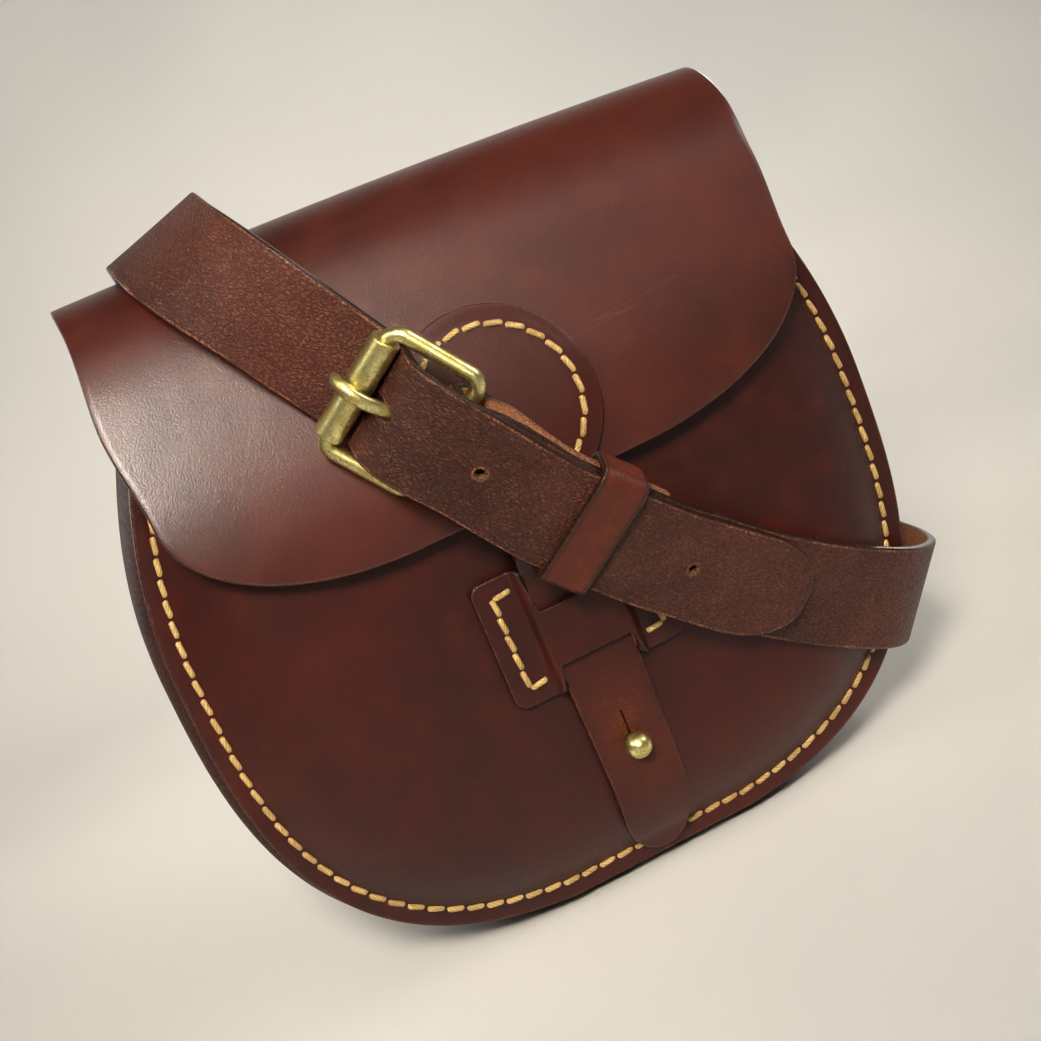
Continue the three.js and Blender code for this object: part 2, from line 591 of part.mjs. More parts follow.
// A round bar along points, each with its own radius. A ring closes on itself.
function roundBar(points, radii, ring = false, sides = 10) {
  const count = points.length;
  let side = null;
  return loft(
    points.map((p, i) => {
      const after = points[ring ? (i + 1) % count : Math.min(i + 1, count - 1)];
      const before = points[ring ? (i + count - 1) % count : Math.max(i - 1, 0)];
      const run = after.clone().sub(before).normalize();
      side = side || V(0, 0, 1).cross(run);
      side = side.clone().addScaledVector(run, -side.dot(run)).normalize();
      const up = run.clone().cross(side);
      return steps(sides).slice(0, -1).map((t) => {
        const turn = t * 2 * Math.PI + Math.PI / sides;
        const across = side.clone().multiplyScalar(Math.cos(turn) * radii[i]);
        return p.clone().add(across).addScaledVector(up, Math.sin(turn) * radii[i]);
      });
    }),
    ring,
  );
}

// Buckle: a wire frame with a roller on one end bar and the prong on the other
const ROLLER_LIFT = LEATHER / 2 + 2.5 * GAP + BUCKLE.roller;

function makeFrame() {
  const flat = [
    { along: 0, side: -1 },
    { along: 0, side: 1 },
    { along: BUCKLE.length, side: 1 },
    { along: BUCKLE.length, side: -1 },
  ];
  const points = flat.flatMap((c) => {
    const sign = c.along ? -1 : 1;
    const centre = { along: c.along + sign * BUCKLE.corner, across: c.side * (BUCKLE.half - BUCKLE.corner) };
    const first = c.along ? 0 : Math.PI;
    const arc = steps(5).map((t) => first + c.side * sign * -1 * t * (Math.PI / 2));
    const turned = (c.side > 0) === (c.along === 0) ? arc : arc.reverse();
    return turned.map((angle) => ({
      along: centre.along + BUCKLE.corner * Math.cos(angle),
      across: centre.across + BUCKLE.corner * Math.sin(angle),
    }));
  });
  const placed = points.map((p) => {
    const share = p.along / BUCKLE.length;
    const roller = strapPoint(0, p.across, ROLLER_LIFT);
    return roller.lerp(strapPoint(BUCKLE.length, p.across, BAR_LIFT), share);
  });
  return roundBar(placed, placed.map(() => BUCKLE.wire), true);
}

function makeRoller() {
  const bore = BUCKLE.wire + GAP;
  const profile = [
    new THREE.Vector2(bore, -BUCKLE.rollerHalf),
    new THREE.Vector2(BUCKLE.roller, -BUCKLE.rollerHalf),
    new THREE.Vector2(BUCKLE.roller, BUCKLE.rollerHalf),
    new THREE.Vector2(bore, BUCKLE.rollerHalf),
    new THREE.Vector2(bore, -BUCKLE.rollerHalf),
  ];
  const f = strapFrame(0);
  const turn = new THREE.Quaternion().setFromUnitVectors(V(0, 1, 0), f.across);
  const centre = strapPoint(0, 0, ROLLER_LIFT);
  return { geometry: new THREE.LatheGeometry(profile, 20), turn, centre };
}

function makeProng() {
  const hook = BUCKLE.wire + GAP + PRONG.hook;
  const round = steps(7).map((t) => {
    const angle = -2.4 + t * 4.1;
    const past = BUCKLE.length + hook * Math.cos(angle);
    return { past, lift: BAR_LIFT + hook * Math.sin(angle), radius: PRONG.hook };
  });
  const line = [...round, ...PRONG_LINE];
  const points = line.map((p) => strapPoint(p.past, 0, p.lift));
  const curve = new THREE.CatmullRomCurve3(points);
  const count = 2 * (line.length - 1);
  const fine = steps(count).map((t) => curve.getPoint(t));
  const radii = fine.map((_, i) => (line[Math.floor(i / 2)].radius + line[Math.ceil(i / 2)].radius) / 2);
  return roundBar(fine, radii, false, 8);
}

// Strap loop: a closed leather band round the stacked straps
function makeStrapLoop() {
  const stack = { low: -LEATHER / 2 - 2 * GAP, high: tailLift(LOOP.centre) + LEATHER / 2 + 2 * GAP };
  const f = strapFrame(LOOP.centre);
  const place = new THREE.Matrix4().makeBasis(f.across, f.out, f.across.clone().cross(f.out));
  place.setPosition(f.point);
  const rectangle = (Path, grow, round) => {
    const half = STRAP_HALF + 2 * GAP + grow;
    const [low, high] = [stack.low - grow, stack.high + grow];
    const path = new Path();
    path.moveTo(-half + round, low).lineTo(half - round, low);
    path.absarc(half - round, low + round, round, -Math.PI / 2, 0).lineTo(half, high - round);
    path.absarc(half - round, high - round, round, 0, Math.PI / 2).lineTo(-half + round, high);
    path.absarc(-half + round, high - round, round, Math.PI / 2, Math.PI).lineTo(-half, low + round);
    path.absarc(-half + round, low + round, round, Math.PI, 1.5 * Math.PI);
    return path;
  };
  const shape = rectangle(THREE.Shape, LOOP.wall, 3);
  shape.holes.push(rectangle(THREE.Path, 0, 0.6));
  const options = { depth: 2 * LOOP.half, bevelEnabled: false, curveSegments: 4 };
  const geometry = new THREE.ExtrudeGeometry(shape, options).translate(0, 0, -LOOP.half);
  return geometry.applyMatrix4(place);
}

// Rivet: a flat shank with a domed head on the strap and a flat one inside the bag
function makeRivet() {
  const outside = LEATHER + 2 * GAP;
  const inside = -LEATHER - GAP;
  const dome = steps(5).map((t) => {
    const turn = (t * Math.PI) / 2;
    return new THREE.Vector2(RIVET.head * Math.cos(turn), outside + GAP + RIVET.headWall * Math.sin(turn));
  });
  dome[5].x = 0;
  const profile = [
    new THREE.Vector2(0, inside - RIVET.headWall / 2),
    new THREE.Vector2(RIVET.head, inside - RIVET.headWall / 2),
    new THREE.Vector2(RIVET.head, inside),
    new THREE.Vector2(RIVET.shank, inside),
    new THREE.Vector2(RIVET.shank, outside),
    new THREE.Vector2(RIVET.head, outside),
    ...dome,
  ];
  return new THREE.LatheGeometry(profile, 12);
}

// Finishes: every mesh gets a material of its own from one of these
const PANEL_LEATHER = { color: 0x4a2018, roughness: 0.42, metalness: 0 };
const GUSSET_LEATHER = { color: 0x2c1712, roughness: 0.55, metalness: 0 };
const STRAP_LEATHER = { color: 0x4b251c, roughness: 0.5, metalness: 0 };
const LOOP_LEATHER = { color: 0x5a2a1a, roughness: 0.5, metalness: 0 };
const BRASS = { color: 0x8f7a35, roughness: 0.35, metalness: 1 };

const bag = new THREE.Group();

function add(name, geometry, finish, parent = bag) {
  const mesh = new THREE.Mesh(geometry, new THREE.MeshStandardMaterial(finish));
  mesh.name = name;
  parent.add(mesh);
  return mesh;
}

add("back_and_flap", makeBackFlap(), PANEL_LEATHER);
add("front_panel", makeFrontPanel(), PANEL_LEATHER);
add("gusset", makeGusset(), GUSSET_LEATHER);
add("closing_tongue", makeTongue(), PANEL_LEATHER);
add("tongue_keeper", makeTongueKeeper(), PANEL_LEATHER);
const stud = add("closing_stud", makeStud(), BRASS);
stud.position.set(TONGUE_X, frontY(TONGUE_X, STUD.z), STUD.z);
stud.rotation.x = Math.PI;

const strap = new THREE.Group();
bag.add(strap);
add("long_strap", makeLongStrap(), STRAP_LEATHER, strap);
add("short_strap", makeShortStrap(), STRAP_LEATHER, strap);
add("strap_loop", makeStrapLoop(), LOOP_LEATHER, strap);

const buckle = new THREE.Group();
strap.add(buckle);
add("buckle_frame", makeFrame(), BRASS, buckle);
const roller = makeRoller();
const rollerMesh = add("buckle_roller", roller.geometry, BRASS, buckle);
rollerMesh.quaternion.copy(roller.turn);
rollerMesh.position.copy(roller.centre);
add("buckle_prong", makeProng(), BRASS, buckle);

["strap_rivet_left", "strap_rivet_right"].forEach((name, end) => {
  const rivet = add(name, makeRivet(), BRASS, strap);
  rivet.position.copy(rivetPlace(end));
});

export default bag;
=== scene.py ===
"""Looks of a small leather crossbody bag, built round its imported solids.

Lengths are millimetres in the code and metres in the meshes. The front faces -Y and +Z is up.
"""

import logging
import math
from dataclasses import dataclass, field, replace
from enum import Enum

import bpy
import numpy as np
from mathutils import Matrix, Vector


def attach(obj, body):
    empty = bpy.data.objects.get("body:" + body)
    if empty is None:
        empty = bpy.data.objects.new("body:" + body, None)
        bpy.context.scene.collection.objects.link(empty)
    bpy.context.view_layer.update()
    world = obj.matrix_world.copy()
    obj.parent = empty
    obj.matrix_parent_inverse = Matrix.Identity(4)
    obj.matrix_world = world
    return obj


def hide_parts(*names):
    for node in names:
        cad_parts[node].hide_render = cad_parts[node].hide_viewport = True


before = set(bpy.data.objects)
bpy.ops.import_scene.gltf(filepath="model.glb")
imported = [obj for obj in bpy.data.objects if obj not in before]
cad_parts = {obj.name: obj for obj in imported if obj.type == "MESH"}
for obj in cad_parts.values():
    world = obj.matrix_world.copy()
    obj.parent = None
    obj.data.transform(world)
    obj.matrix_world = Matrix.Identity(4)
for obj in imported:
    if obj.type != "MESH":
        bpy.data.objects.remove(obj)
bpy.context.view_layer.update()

METRES = 0.001
LATHE_SIDES = 32
WARM = (1.0, 0.91, 0.8)
Array = np.ndarray
Socket = bpy.types.NodeSocket
SIDEWAYS, FORWARD, BACKWARD = np.array([[1.0, 0.0, 0.0], [0.0, -1.0, 0.0], [0.0, 1.0, 0.0]])
log = logging.getLogger("bag")


def smoothstep(low: float, high: float, t: Array) -> Array:
    """Rises from 0 at low to 1 at high as 3s^2 - 2s^3.

    Args:
        low: where the rise starts.
        high: where the rise ends.
        t: the places.

    Returns:
        The share risen at each place.
    """
    s = np.clip((np.asarray(t, float) - low) / (high - low), 0, 1)
    return s * s * (3 - 2 * s)


def unit(v: Array) -> Array:
    """Vectors scaled to length one along the last axis."""
    return v / np.maximum(np.linalg.norm(v, axis=-1, keepdims=True), 1e-12)


def grid_faces(rows: int, cols: int, wrap_rows: bool = False, wrap_cols: bool = False) -> Array:
    """Quads of a grid numbered row by row.

    Args:
        rows: how many rows of points.
        cols: how many points in a row.
        wrap_rows: whether the last row joins the first.
        wrap_cols: whether the last column joins the first.

    Returns:
        One row of four point numbers for each quad.
    """
    index = np.arange(rows * cols).reshape(rows, cols)
    if wrap_rows:
        index = np.vstack([index, index[:1]])
    if wrap_cols:
        index = np.hstack([index, index[:, :1]])
    corners = [index[:-1, :-1], index[:-1, 1:], index[1:, 1:], index[1:, :-1]]
    return np.stack(corners, -1).reshape(-1, 4)


def cap_faces(ring: Array) -> Array:
    """Quads that close a ring of an even number of points, as a strip from side to side."""
    back = ring[::-1]
    half = len(ring) // 2
    return np.stack([ring[: half - 1], ring[1:half], back[1:half], back[: half - 1]], -1)


def point_normals(points: Array, faces: Array) -> Array:
    """Unit normals at the points: the sum of the crossed diagonals of the quads round each."""
    a, b, c, d = (points[faces[:, i]] for i in range(4))
    crossed = np.cross(c - a, d - b)
    total = np.zeros_like(points)
    np.add.at(total, faces.ravel(), np.repeat(crossed, 4, axis=0))
    return unit(total)


def distance_to_lines(points: Array, starts: Array, ends: Array, chunk: int = 2000) -> Array:
    """Least distance from each point to a set of line pieces.

    Args:
        points: places, one row each.
        starts: first ends of the line pieces.
        ends: second ends of the line pieces.
        chunk: how many points are worked out together.

    Returns:
        One distance for each point.
    """
    run = ends - starts
    length = np.maximum((run * run).sum(-1), 1e-12)
    best = []
    for part in np.array_split(points, max(1, len(points) // chunk)):
        to = part[:, None] - starts
        t = np.clip((to * run).sum(-1) / length, 0, 1)
        best.append(np.sqrt(((to - t[..., None] * run) ** 2).sum(-1).min(1)))
    return np.concatenate(best)


def run_lengths(points: Array) -> Array:
    """Distance along a line at each of its points, from zero at the first."""
    return np.concatenate([[0], np.linalg.norm(np.diff(points, axis=0), axis=1).cumsum()])


def read_rows(at: Array, where: Array, rows: Array) -> Array:
    """Rows of values that stand at rising places, read at other places by linear interpolation."""
    return np.stack([np.interp(at, where, column) for column in rows.T], -1)


def spaced(points: Array, count: int) -> Array:
    """A line's points moved to equal steps along it, by linear interpolation on its length."""
    length = run_lengths(points)
    return read_rows(np.linspace(0, length[-1], count), length, points)


def over_grid(across: Array, along: Array) -> Array:
    """Surface coordinates of a grid of points, from its places across and along."""
    return np.stack(np.broadcast_arrays(across, along), -1).reshape(-1, 2)


def through(table_x: Array, table_y: Array, x: Array) -> Array:
    """Smooth curve through a table: cubic pieces whose slope at a row is that between its neighbours.

    Args:
        table_x: rising places of the rows.
        table_y: values of the rows.
        x: where the curve is wanted.

    Returns:
        The curve's value at each place.
    """
    before = np.maximum(np.arange(len(table_x)) - 1, 0)
    after = np.minimum(np.arange(len(table_x)) + 1, len(table_x) - 1)
    slope = (table_y[after] - table_y[before]) / (table_x[after] - table_x[before])
    i = np.clip(np.searchsorted(table_x, x) - 1, 0, len(table_x) - 2)
    span = table_x[i + 1] - table_x[i]
    t = np.clip((x - table_x[i]) / span, 0, 1)
    ends = table_y[i] * (2 * t**3 - 3 * t**2 + 1) + table_y[i + 1] * (3 * t**2 - 2 * t**3)
    return ends + span * (slope[i] * (t**3 - 2 * t**2 + t) + slope[i + 1] * (t**3 - t**2))


@dataclass
class Body:
    """A finished mesh before it goes into Blender: points, quads, surface coordinates and point values."""

    points: Array
    faces: Array
    uv: Array
    values: dict[str, Array] = field(default_factory=dict)

    def mesh_object(self, name: str, material: bpy.types.Material) -> bpy.types.Object:
        """Makes the Blender object, at the origin with its place in its mesh.

        Args:
            name: the piece's name.
            material: its finish.

        Returns:
            The new object, linked to the scene.
        """
        mesh = bpy.data.meshes.new(name)
        mesh.from_pydata((self.points * METRES).tolist(), [], self.faces.tolist())
        layer = mesh.uv_layers.new(name="surface")
        layer.data.foreach_set("uv", (self.uv[self.faces.ravel()] * METRES).astype(np.float32).ravel())
        for key, value in self.values.items():
            mesh.attributes.new(key, "FLOAT", "POINT").data.foreach_set("value", value.astype(np.float32))
        mesh.polygons.foreach_set("use_smooth", np.ones(len(mesh.polygons), bool))
        mesh.materials.append(material)
        mesh.validate()
        mesh.update()
        piece = bpy.data.objects.new(name, mesh)
        bpy.context.scene.collection.objects.link(piece)
        return piece


def joined(parts: list[Body]) -> Body:
    """Several bodies as one, their point numbers moved up in turn."""
    starts = np.cumsum([0] + [len(p.points) for p in parts[:-1]])
    faces = np.concatenate([p.faces + s for p, s in zip(parts, starts)])
    values = {k: np.concatenate([p.values[k] for p in parts]) for k in parts[0].values}
    points = np.concatenate([p.points for p in parts])
    return Body(points, faces, np.concatenate([p.uv for p in parts]), values)


@dataclass
class Skin:
    """The grain face of a leather piece: a sheet of quads with coordinates across and along it."""

    points: Array
    faces: Array
    uv: Array
    towards: Array

    @classmethod
    def of_used(cls, points: Array, faces: Array, uv: Array, towards: Array) -> tuple["Skin", Array]:
        """A sheet with only the points that its quads use, and those points' numbers."""
        used, number = np.unique(faces, return_inverse=True)
        if towards.ndim > 1:
            towards = towards[used]
        return cls(points[used], number.reshape(-1, 4), uv[used], towards), used

    def leather(self, wall: float | Array, bulge: float = 0.7, rings: int = 5,
                marks: dict[str, Array] | None = None) -> Body:
        """Gives the sheet its thickness and a rounded cut edge.

        The flesh face is the grain face moved in by the wall along the normals. Every cut edge gets rings
        that run from one face to the other: at angle a the ring is (1 - cos a) / 2 of the wall deep and
        stands out by bulge times sin(a) to the power 0.6. The value "edge" is the distance to the nearest
        cut edge, below zero on the edge itself, and "side" is 1 on the grain and -1 on the flesh.

        Args:
            wall: the leather's thickness, one for all or one for each point.
            bulge: how far the cut edge stands out.
            rings: how many rings make the cut edge.
            marks: further values of the grain face's points, which the flesh face and edge take over.

        Returns:
            The closed body.
        """
        points, faces = self.points, self.faces
        count = len(points)
        normals = point_normals(points, faces)
        if (normals * self.towards).sum(-1).mean() < 0:
            faces, normals = faces[:, ::-1], -normals
        wall = np.broadcast_to(np.asarray(wall, float), (count,))
        sides = np.concatenate([faces[:, [i, (i + 1) % 4]] for i in range(4)])
        once = ~np.isin(sides[:, 0] * count + sides[:, 1], sides[:, 1] * count + sides[:, 0])
        cut = sides[once]
        across = unit(np.cross(points[cut[:, 1]] - points[cut[:, 0]], normals[cut].sum(1)))
        reach = np.zeros_like(points)
        np.add.at(reach, cut[:, 0], across)
        np.add.at(reach, cut[:, 1], across)
        rim = np.unique(cut)
        rank = np.zeros(count, int)
        rank[rim] = np.arange(len(rim))
        angle = np.pi * np.arange(1, rings + 1) / (rings + 1)
        deep = wall[rim][None, :, None] * ((1 - np.cos(angle)) / 2)[:, None, None]
        stand = (bulge * np.sin(angle) ** 0.6)[:, None, None]
        ring_points = points[rim] - normals[rim] * deep + unit(reach[rim]) * stand
        inner = points - normals * wall[:, None]
        levels = [np.arange(count)]
        levels += [2 * count + k * len(rim) + rank for k in range(rings)]
        levels += [count + np.arange(count)]
        a, b = cut[:, 0], cut[:, 1]
        edge_faces = [np.stack([u[b], u[a], v[a], v[b]], -1) for u, v in zip(levels[:-1], levels[1:])]
        near = distance_to_lines(points, points[a], points[b])
        hollow = np.repeat(-np.sin(angle), len(rim))
        spread = lambda v: np.concatenate([v, v, np.tile(v[rim], rings)])
        values = {
            "edge": np.concatenate([near, near, hollow]),
            "side": np.concatenate([np.ones(count), -np.ones(count), np.zeros(len(hollow))]),
        }
        values.update({key: spread(value) for key, value in (marks or {}).items()})
        all_points = np.concatenate([points, inner, ring_points.reshape(-1, 3)])
        all_faces = np.concatenate([faces, faces[:, ::-1] + count, *edge_faces])
        uv = np.concatenate([self.uv, self.uv, np.tile(self.uv[rim], (rings, 1))])
        return Body(all_points, all_faces, uv, values)


@dataclass(frozen=True)
class Hole:
    """A punched hole in a sheet: a block of cells about a centre, turned round by a square-to-disc map.

    raw says how bare the leather is in the hole and for raw_rim round it.
    """

    across: float
    along: float
    block: tuple[float, float]
    radius: tuple[float, float]
    reach: float = 2.5
    raw: float = 0.0
    raw_rim: float = 0.4

    def square(self, u: Array, v: Array) -> tuple[Array, Array, Array]:
        """Places in units of the block's half size, and how many half sizes out each is."""
        x, y = (u - self.across) / self.block[0], (v - self.along) / self.block[1]
        return x, y, np.maximum(np.abs(x), np.abs(y))

    def warp(self, u: Array, v: Array) -> tuple[Array, Array]:
        """Moves grid lines so that the block's outline becomes the hole's.

        A point m half sizes out goes to m times the hole's radius in its own direction, and the move fades
        away at reach half sizes.

        Args:
            u: places across.
            v: places along.

        Returns:
            The moved places.
        """
        x, y, out = self.square(u, v)
        far = np.maximum(np.hypot(x, y), 1e-9)
        keep = 1 - smoothstep(1, self.reach, out)
        new_u = self.across + self.radius[0] * out * x / far
        new_v = self.along + self.radius[1] * out * y / far
        return u + keep * (new_u - u), v + keep * (new_v - v)

    def rawness(self, u: Array, v: Array) -> Array:
        """How bare the leather is about the hole: raw inside its rim, and none a little past it."""
        wide, long = (r + self.raw_rim for r in self.radius)
        away = np.hypot((u - self.across) / wide, (v - self.along) / long)
        return self.raw * np.exp(-(away**8))

    def covers(self, u: Array, v: Array) -> Array:
        """Which places lie inside the block."""
        return self.square(u, v)[2] < 1


def open_faces(faces: Array, u: Array, v: Array, holes: list[Hole]) -> Array:
    """The quads that are left when those whose middle lies in a hole's block are taken out."""
    middle_u, middle_v = u.ravel()[faces].mean(1), v.ravel()[faces].mean(1)
    gone = np.zeros(len(faces), bool)
    for hole in holes:
        gone |= hole.covers(middle_u, middle_v)
    return faces[~gone]


def lathe(profile: Array, sides: int, origin: Array, axis: Array, side: Array, ring: bool = False) -> Body:
    """A profile of (radius, height) turned round an axis.

    The point at angle a is origin + height * axis + radius * (cos a * side + sin a * axis x side).

    Args:
        profile: rows of radius and height.
        sides: how many points in a turn, an even number.
        origin: where height is zero.
        axis: unit vector along the axis.
        side: unit vector square to it.
        ring: whether the profile closes on itself.

    Returns:
        The closed body.
    """
    turn = np.linspace(0, 2 * np.pi, sides, endpoint=False)
    round_ = np.cos(turn)[:, None] * side + np.sin(turn)[:, None] * np.cross(axis, side)
    points = origin + profile[:, 1, None, None] * axis + profile[:, 0, None, None] * round_
    return closed_rings(points, ring, np.hypot(*np.gradient(profile, axis=0).T).cumsum())


def closed_rings(points: Array, ring: bool, along: Array) -> Body:
    """Rings of points joined into a closed body, with flat ends or end to end.

    Args:
        points: rings by points by coordinates.
        ring: whether the last ring joins the first.
        along: each ring's distance along the body, for its surface coordinates.

    Returns:
        The closed body with its faces outwards.
    """
    rows, cols = points.shape[:2]
    faces = [grid_faces(rows, cols, wrap_rows=ring, wrap_cols=True)]
    if not ring:
        faces += [cap_faces(np.arange(cols)), cap_faces(np.arange(cols))[:, ::-1] + (rows - 1) * cols]
    faces = np.concatenate(faces)
    flat = points.reshape(-1, 3)
    middle = np.repeat(points.mean(1), cols, axis=0)
    if (point_normals(flat, faces) * (flat - middle)).sum() < 0:
        faces = faces[:, ::-1]
    girth = np.linspace(0, 1, cols, endpoint=False) * 10
    return Body(flat, faces, over_grid(girth, along[:, None]))


def tube(line: Array, wide: Array, thick: Array, flat: Array, sides: int, ring: bool = False) -> Body:
    """An oval bar along a line: at each point an ellipse square to the line.

    Args:
        line: points of the middle line.
        wide: half width of each ellipse along the flat direction.
        thick: half width of each ellipse square to it.
        flat: the flat direction at each point, roughly square to the line.
        sides: how many points in a ring, an even number.
        ring: whether the bar closes on itself.

    Returns:
        The closed body.
    """
    if ring:
        run = np.roll(line, -1, axis=0) - np.roll(line, 1, axis=0)
    else:
        run = np.gradient(line, axis=0)
    run = unit(run)
    first = unit(flat - (flat * run).sum(-1, keepdims=True) * run)
    second = np.cross(run, first)
    turn = np.linspace(0, 2 * np.pi, sides, endpoint=False) + np.pi / sides
    points = line[:, None] + (wide[:, None] * np.cos(turn))[..., None] * first[:, None]
    points = points + (thick[:, None] * np.sin(turn))[..., None] * second[:, None]
    return closed_rings(points, ring, run_lengths(line))


class Slot(Enum):
    """The record's material slots."""

    PANEL = "panel_leather"
    GUSSET = "gusset_leather"
    STRAP = "strap_leather"
    LOOP = "loop_leather"
    BRASS = "brass"


class Coordinates(Enum):
    """Where a finish takes the places of its pattern from."""

    OBJECT = "Object"
    SURFACE = "UV"


class Graph:
    """Short calls that build one material's nodes."""

    def __init__(self, name: str) -> None:
        """Starts a material with its shader and output."""
        self.material = bpy.data.materials.new(name)
        self.material.use_nodes = True
        self.nodes = self.material.node_tree.nodes
        self.links = self.material.node_tree.links
        self.shader = self.nodes["Principled BSDF"]

    def set(self, node: bpy.types.Node, inputs: dict) -> bpy.types.Node:
        """Sets a node's inputs, each from a socket or a plain value."""
        for key, value in inputs.items():
            if isinstance(value, Socket):
                self.links.new(value, node.inputs[key])
            else:
                node.inputs[key].default_value = value
        return node

    def add(self, kind: str, inputs: dict, **settings: object) -> bpy.types.Node:
        """Adds a node with its settings and inputs."""
        node = self.nodes.new("ShaderNode" + kind)
        for key, value in settings.items():
            setattr(node, key, value)
        return self.set(node, inputs)

    def place(self, kind: Coordinates) -> Socket:
        """The coordinates that patterns are read at."""
        return self.add("TexCoord", {}).outputs[kind.value]

    def value(self, name: str) -> Socket:
        """One of the mesh's own point values."""
        return self.add("Attribute", {}, attribute_name=name).outputs["Fac"]

    def noise(self, at: Socket, scale: float, detail: float = 3, rough: float = 0.55) -> Socket:
        """Soft noise with so many swells to the metre."""
        inputs = {"Vector": at, "Scale": scale, "Detail": detail, "Roughness": rough}
        return self.add("TexNoise", inputs).outputs["Fac"]

    def cells(self, at: Socket, scale: float, feature: str = "F1") -> Socket:
        """Distance pattern of random cells, so many to the metre."""
        return self.add("TexVoronoi", {"Vector": at, "Scale": scale}, feature=feature).outputs["Distance"]

    def stretched(self, at: Socket, size: tuple[float, float, float],
                  turn: tuple[float, float, float] = (0, 0, 0)) -> Socket:
        """Coordinates scaled and turned, so that a pattern runs one way."""
        return self.add("Mapping", {"Vector": at, "Scale": size, "Rotation": turn}).outputs["Vector"]

    def ramp(self, value: Socket, low: float, high: float, start: float = 0, end: float = 1) -> Socket:
        """A smooth step from start to end as the value goes from low to high."""
        inputs = {"Value": value, "From Min": low, "From Max": high, "To Min": start, "To Max": end}
        return self.add("MapRange", inputs, interpolation_type="SMOOTHSTEP").outputs["Result"]

    def sum(self, kind: str, a: object, b: object) -> Socket:
        """One step of arithmetic."""
        return self.add("Math", {0: a, 1: b}, operation=kind).outputs[0]

    def mix(self, share: object, a: object, b: object) -> Socket:
        """Two colours mixed by a share."""
        return self.add("Mix", {0: share, 6: a, 7: b}, data_type="RGBA").outputs[2]

    def bump(self, height: Socket, depth: float, under: Socket | None = None) -> Socket:
        """Relief of that depth in metres, laid over another relief."""
        inputs = {"Height": height, "Distance": depth, "Strength": 1.0}
        if under is not None:
            inputs["Normal"] = under
        return self.add("Bump", inputs).outputs["Normal"]


def rgb(red: float, green: float, blue: float) -> tuple[float, float, float, float]:
    """A colour given as screen values from 0 to 255, as linear light."""
    share = np.array([red, green, blue]) / 255
    linear = np.where(share <= 0.04045, share / 12.92, ((share + 0.055) / 1.055) ** 2.4)
    return (*[float(c) for c in linear], 1.0)


class Finish:
    """A finish whose material is built once and found again by its name."""

    name: str

    def material(self) -> bpy.types.Material:
        """The finish's material, built when it is first asked for."""
        found = bpy.data.materials.get(self.name)
        if found is None:
            graph = Graph(self.name)
            self.nodes(graph)
            found = graph.material
        return found

    def nodes(self, g: Graph) -> None:
        """Adds the material's nodes."""
        raise NotImplementedError


@dataclass(frozen=True)
class Scales:
    """How many swells or cells to the metre the patterns of every leather have."""

    broad: float = 12.0
    bald: float = 60.0
    dent: float = 60.0
    cloud: float = 75.0
    rub: float = 90.0
    patch: float = 130.0
    stain: float = 260.0
    wobble: float = 420.0
    wrinkle: float = 1100.0
    nap: float = 1400.0
    fibre: float = 1500.0


@dataclass
class Marks:
    """The patterns and mesh values that a leather's colour, gloss and relief share."""

    at: Socket
    solid: Socket
    edge: Socket
    raw: Socket
    fine: Socket
    pebble: Socket
    crease: Socket
    fold: Socket
    groove: Socket
    fibre: Socket
    on_edge: Socket
    on_flesh: Socket
    bare_share: Socket


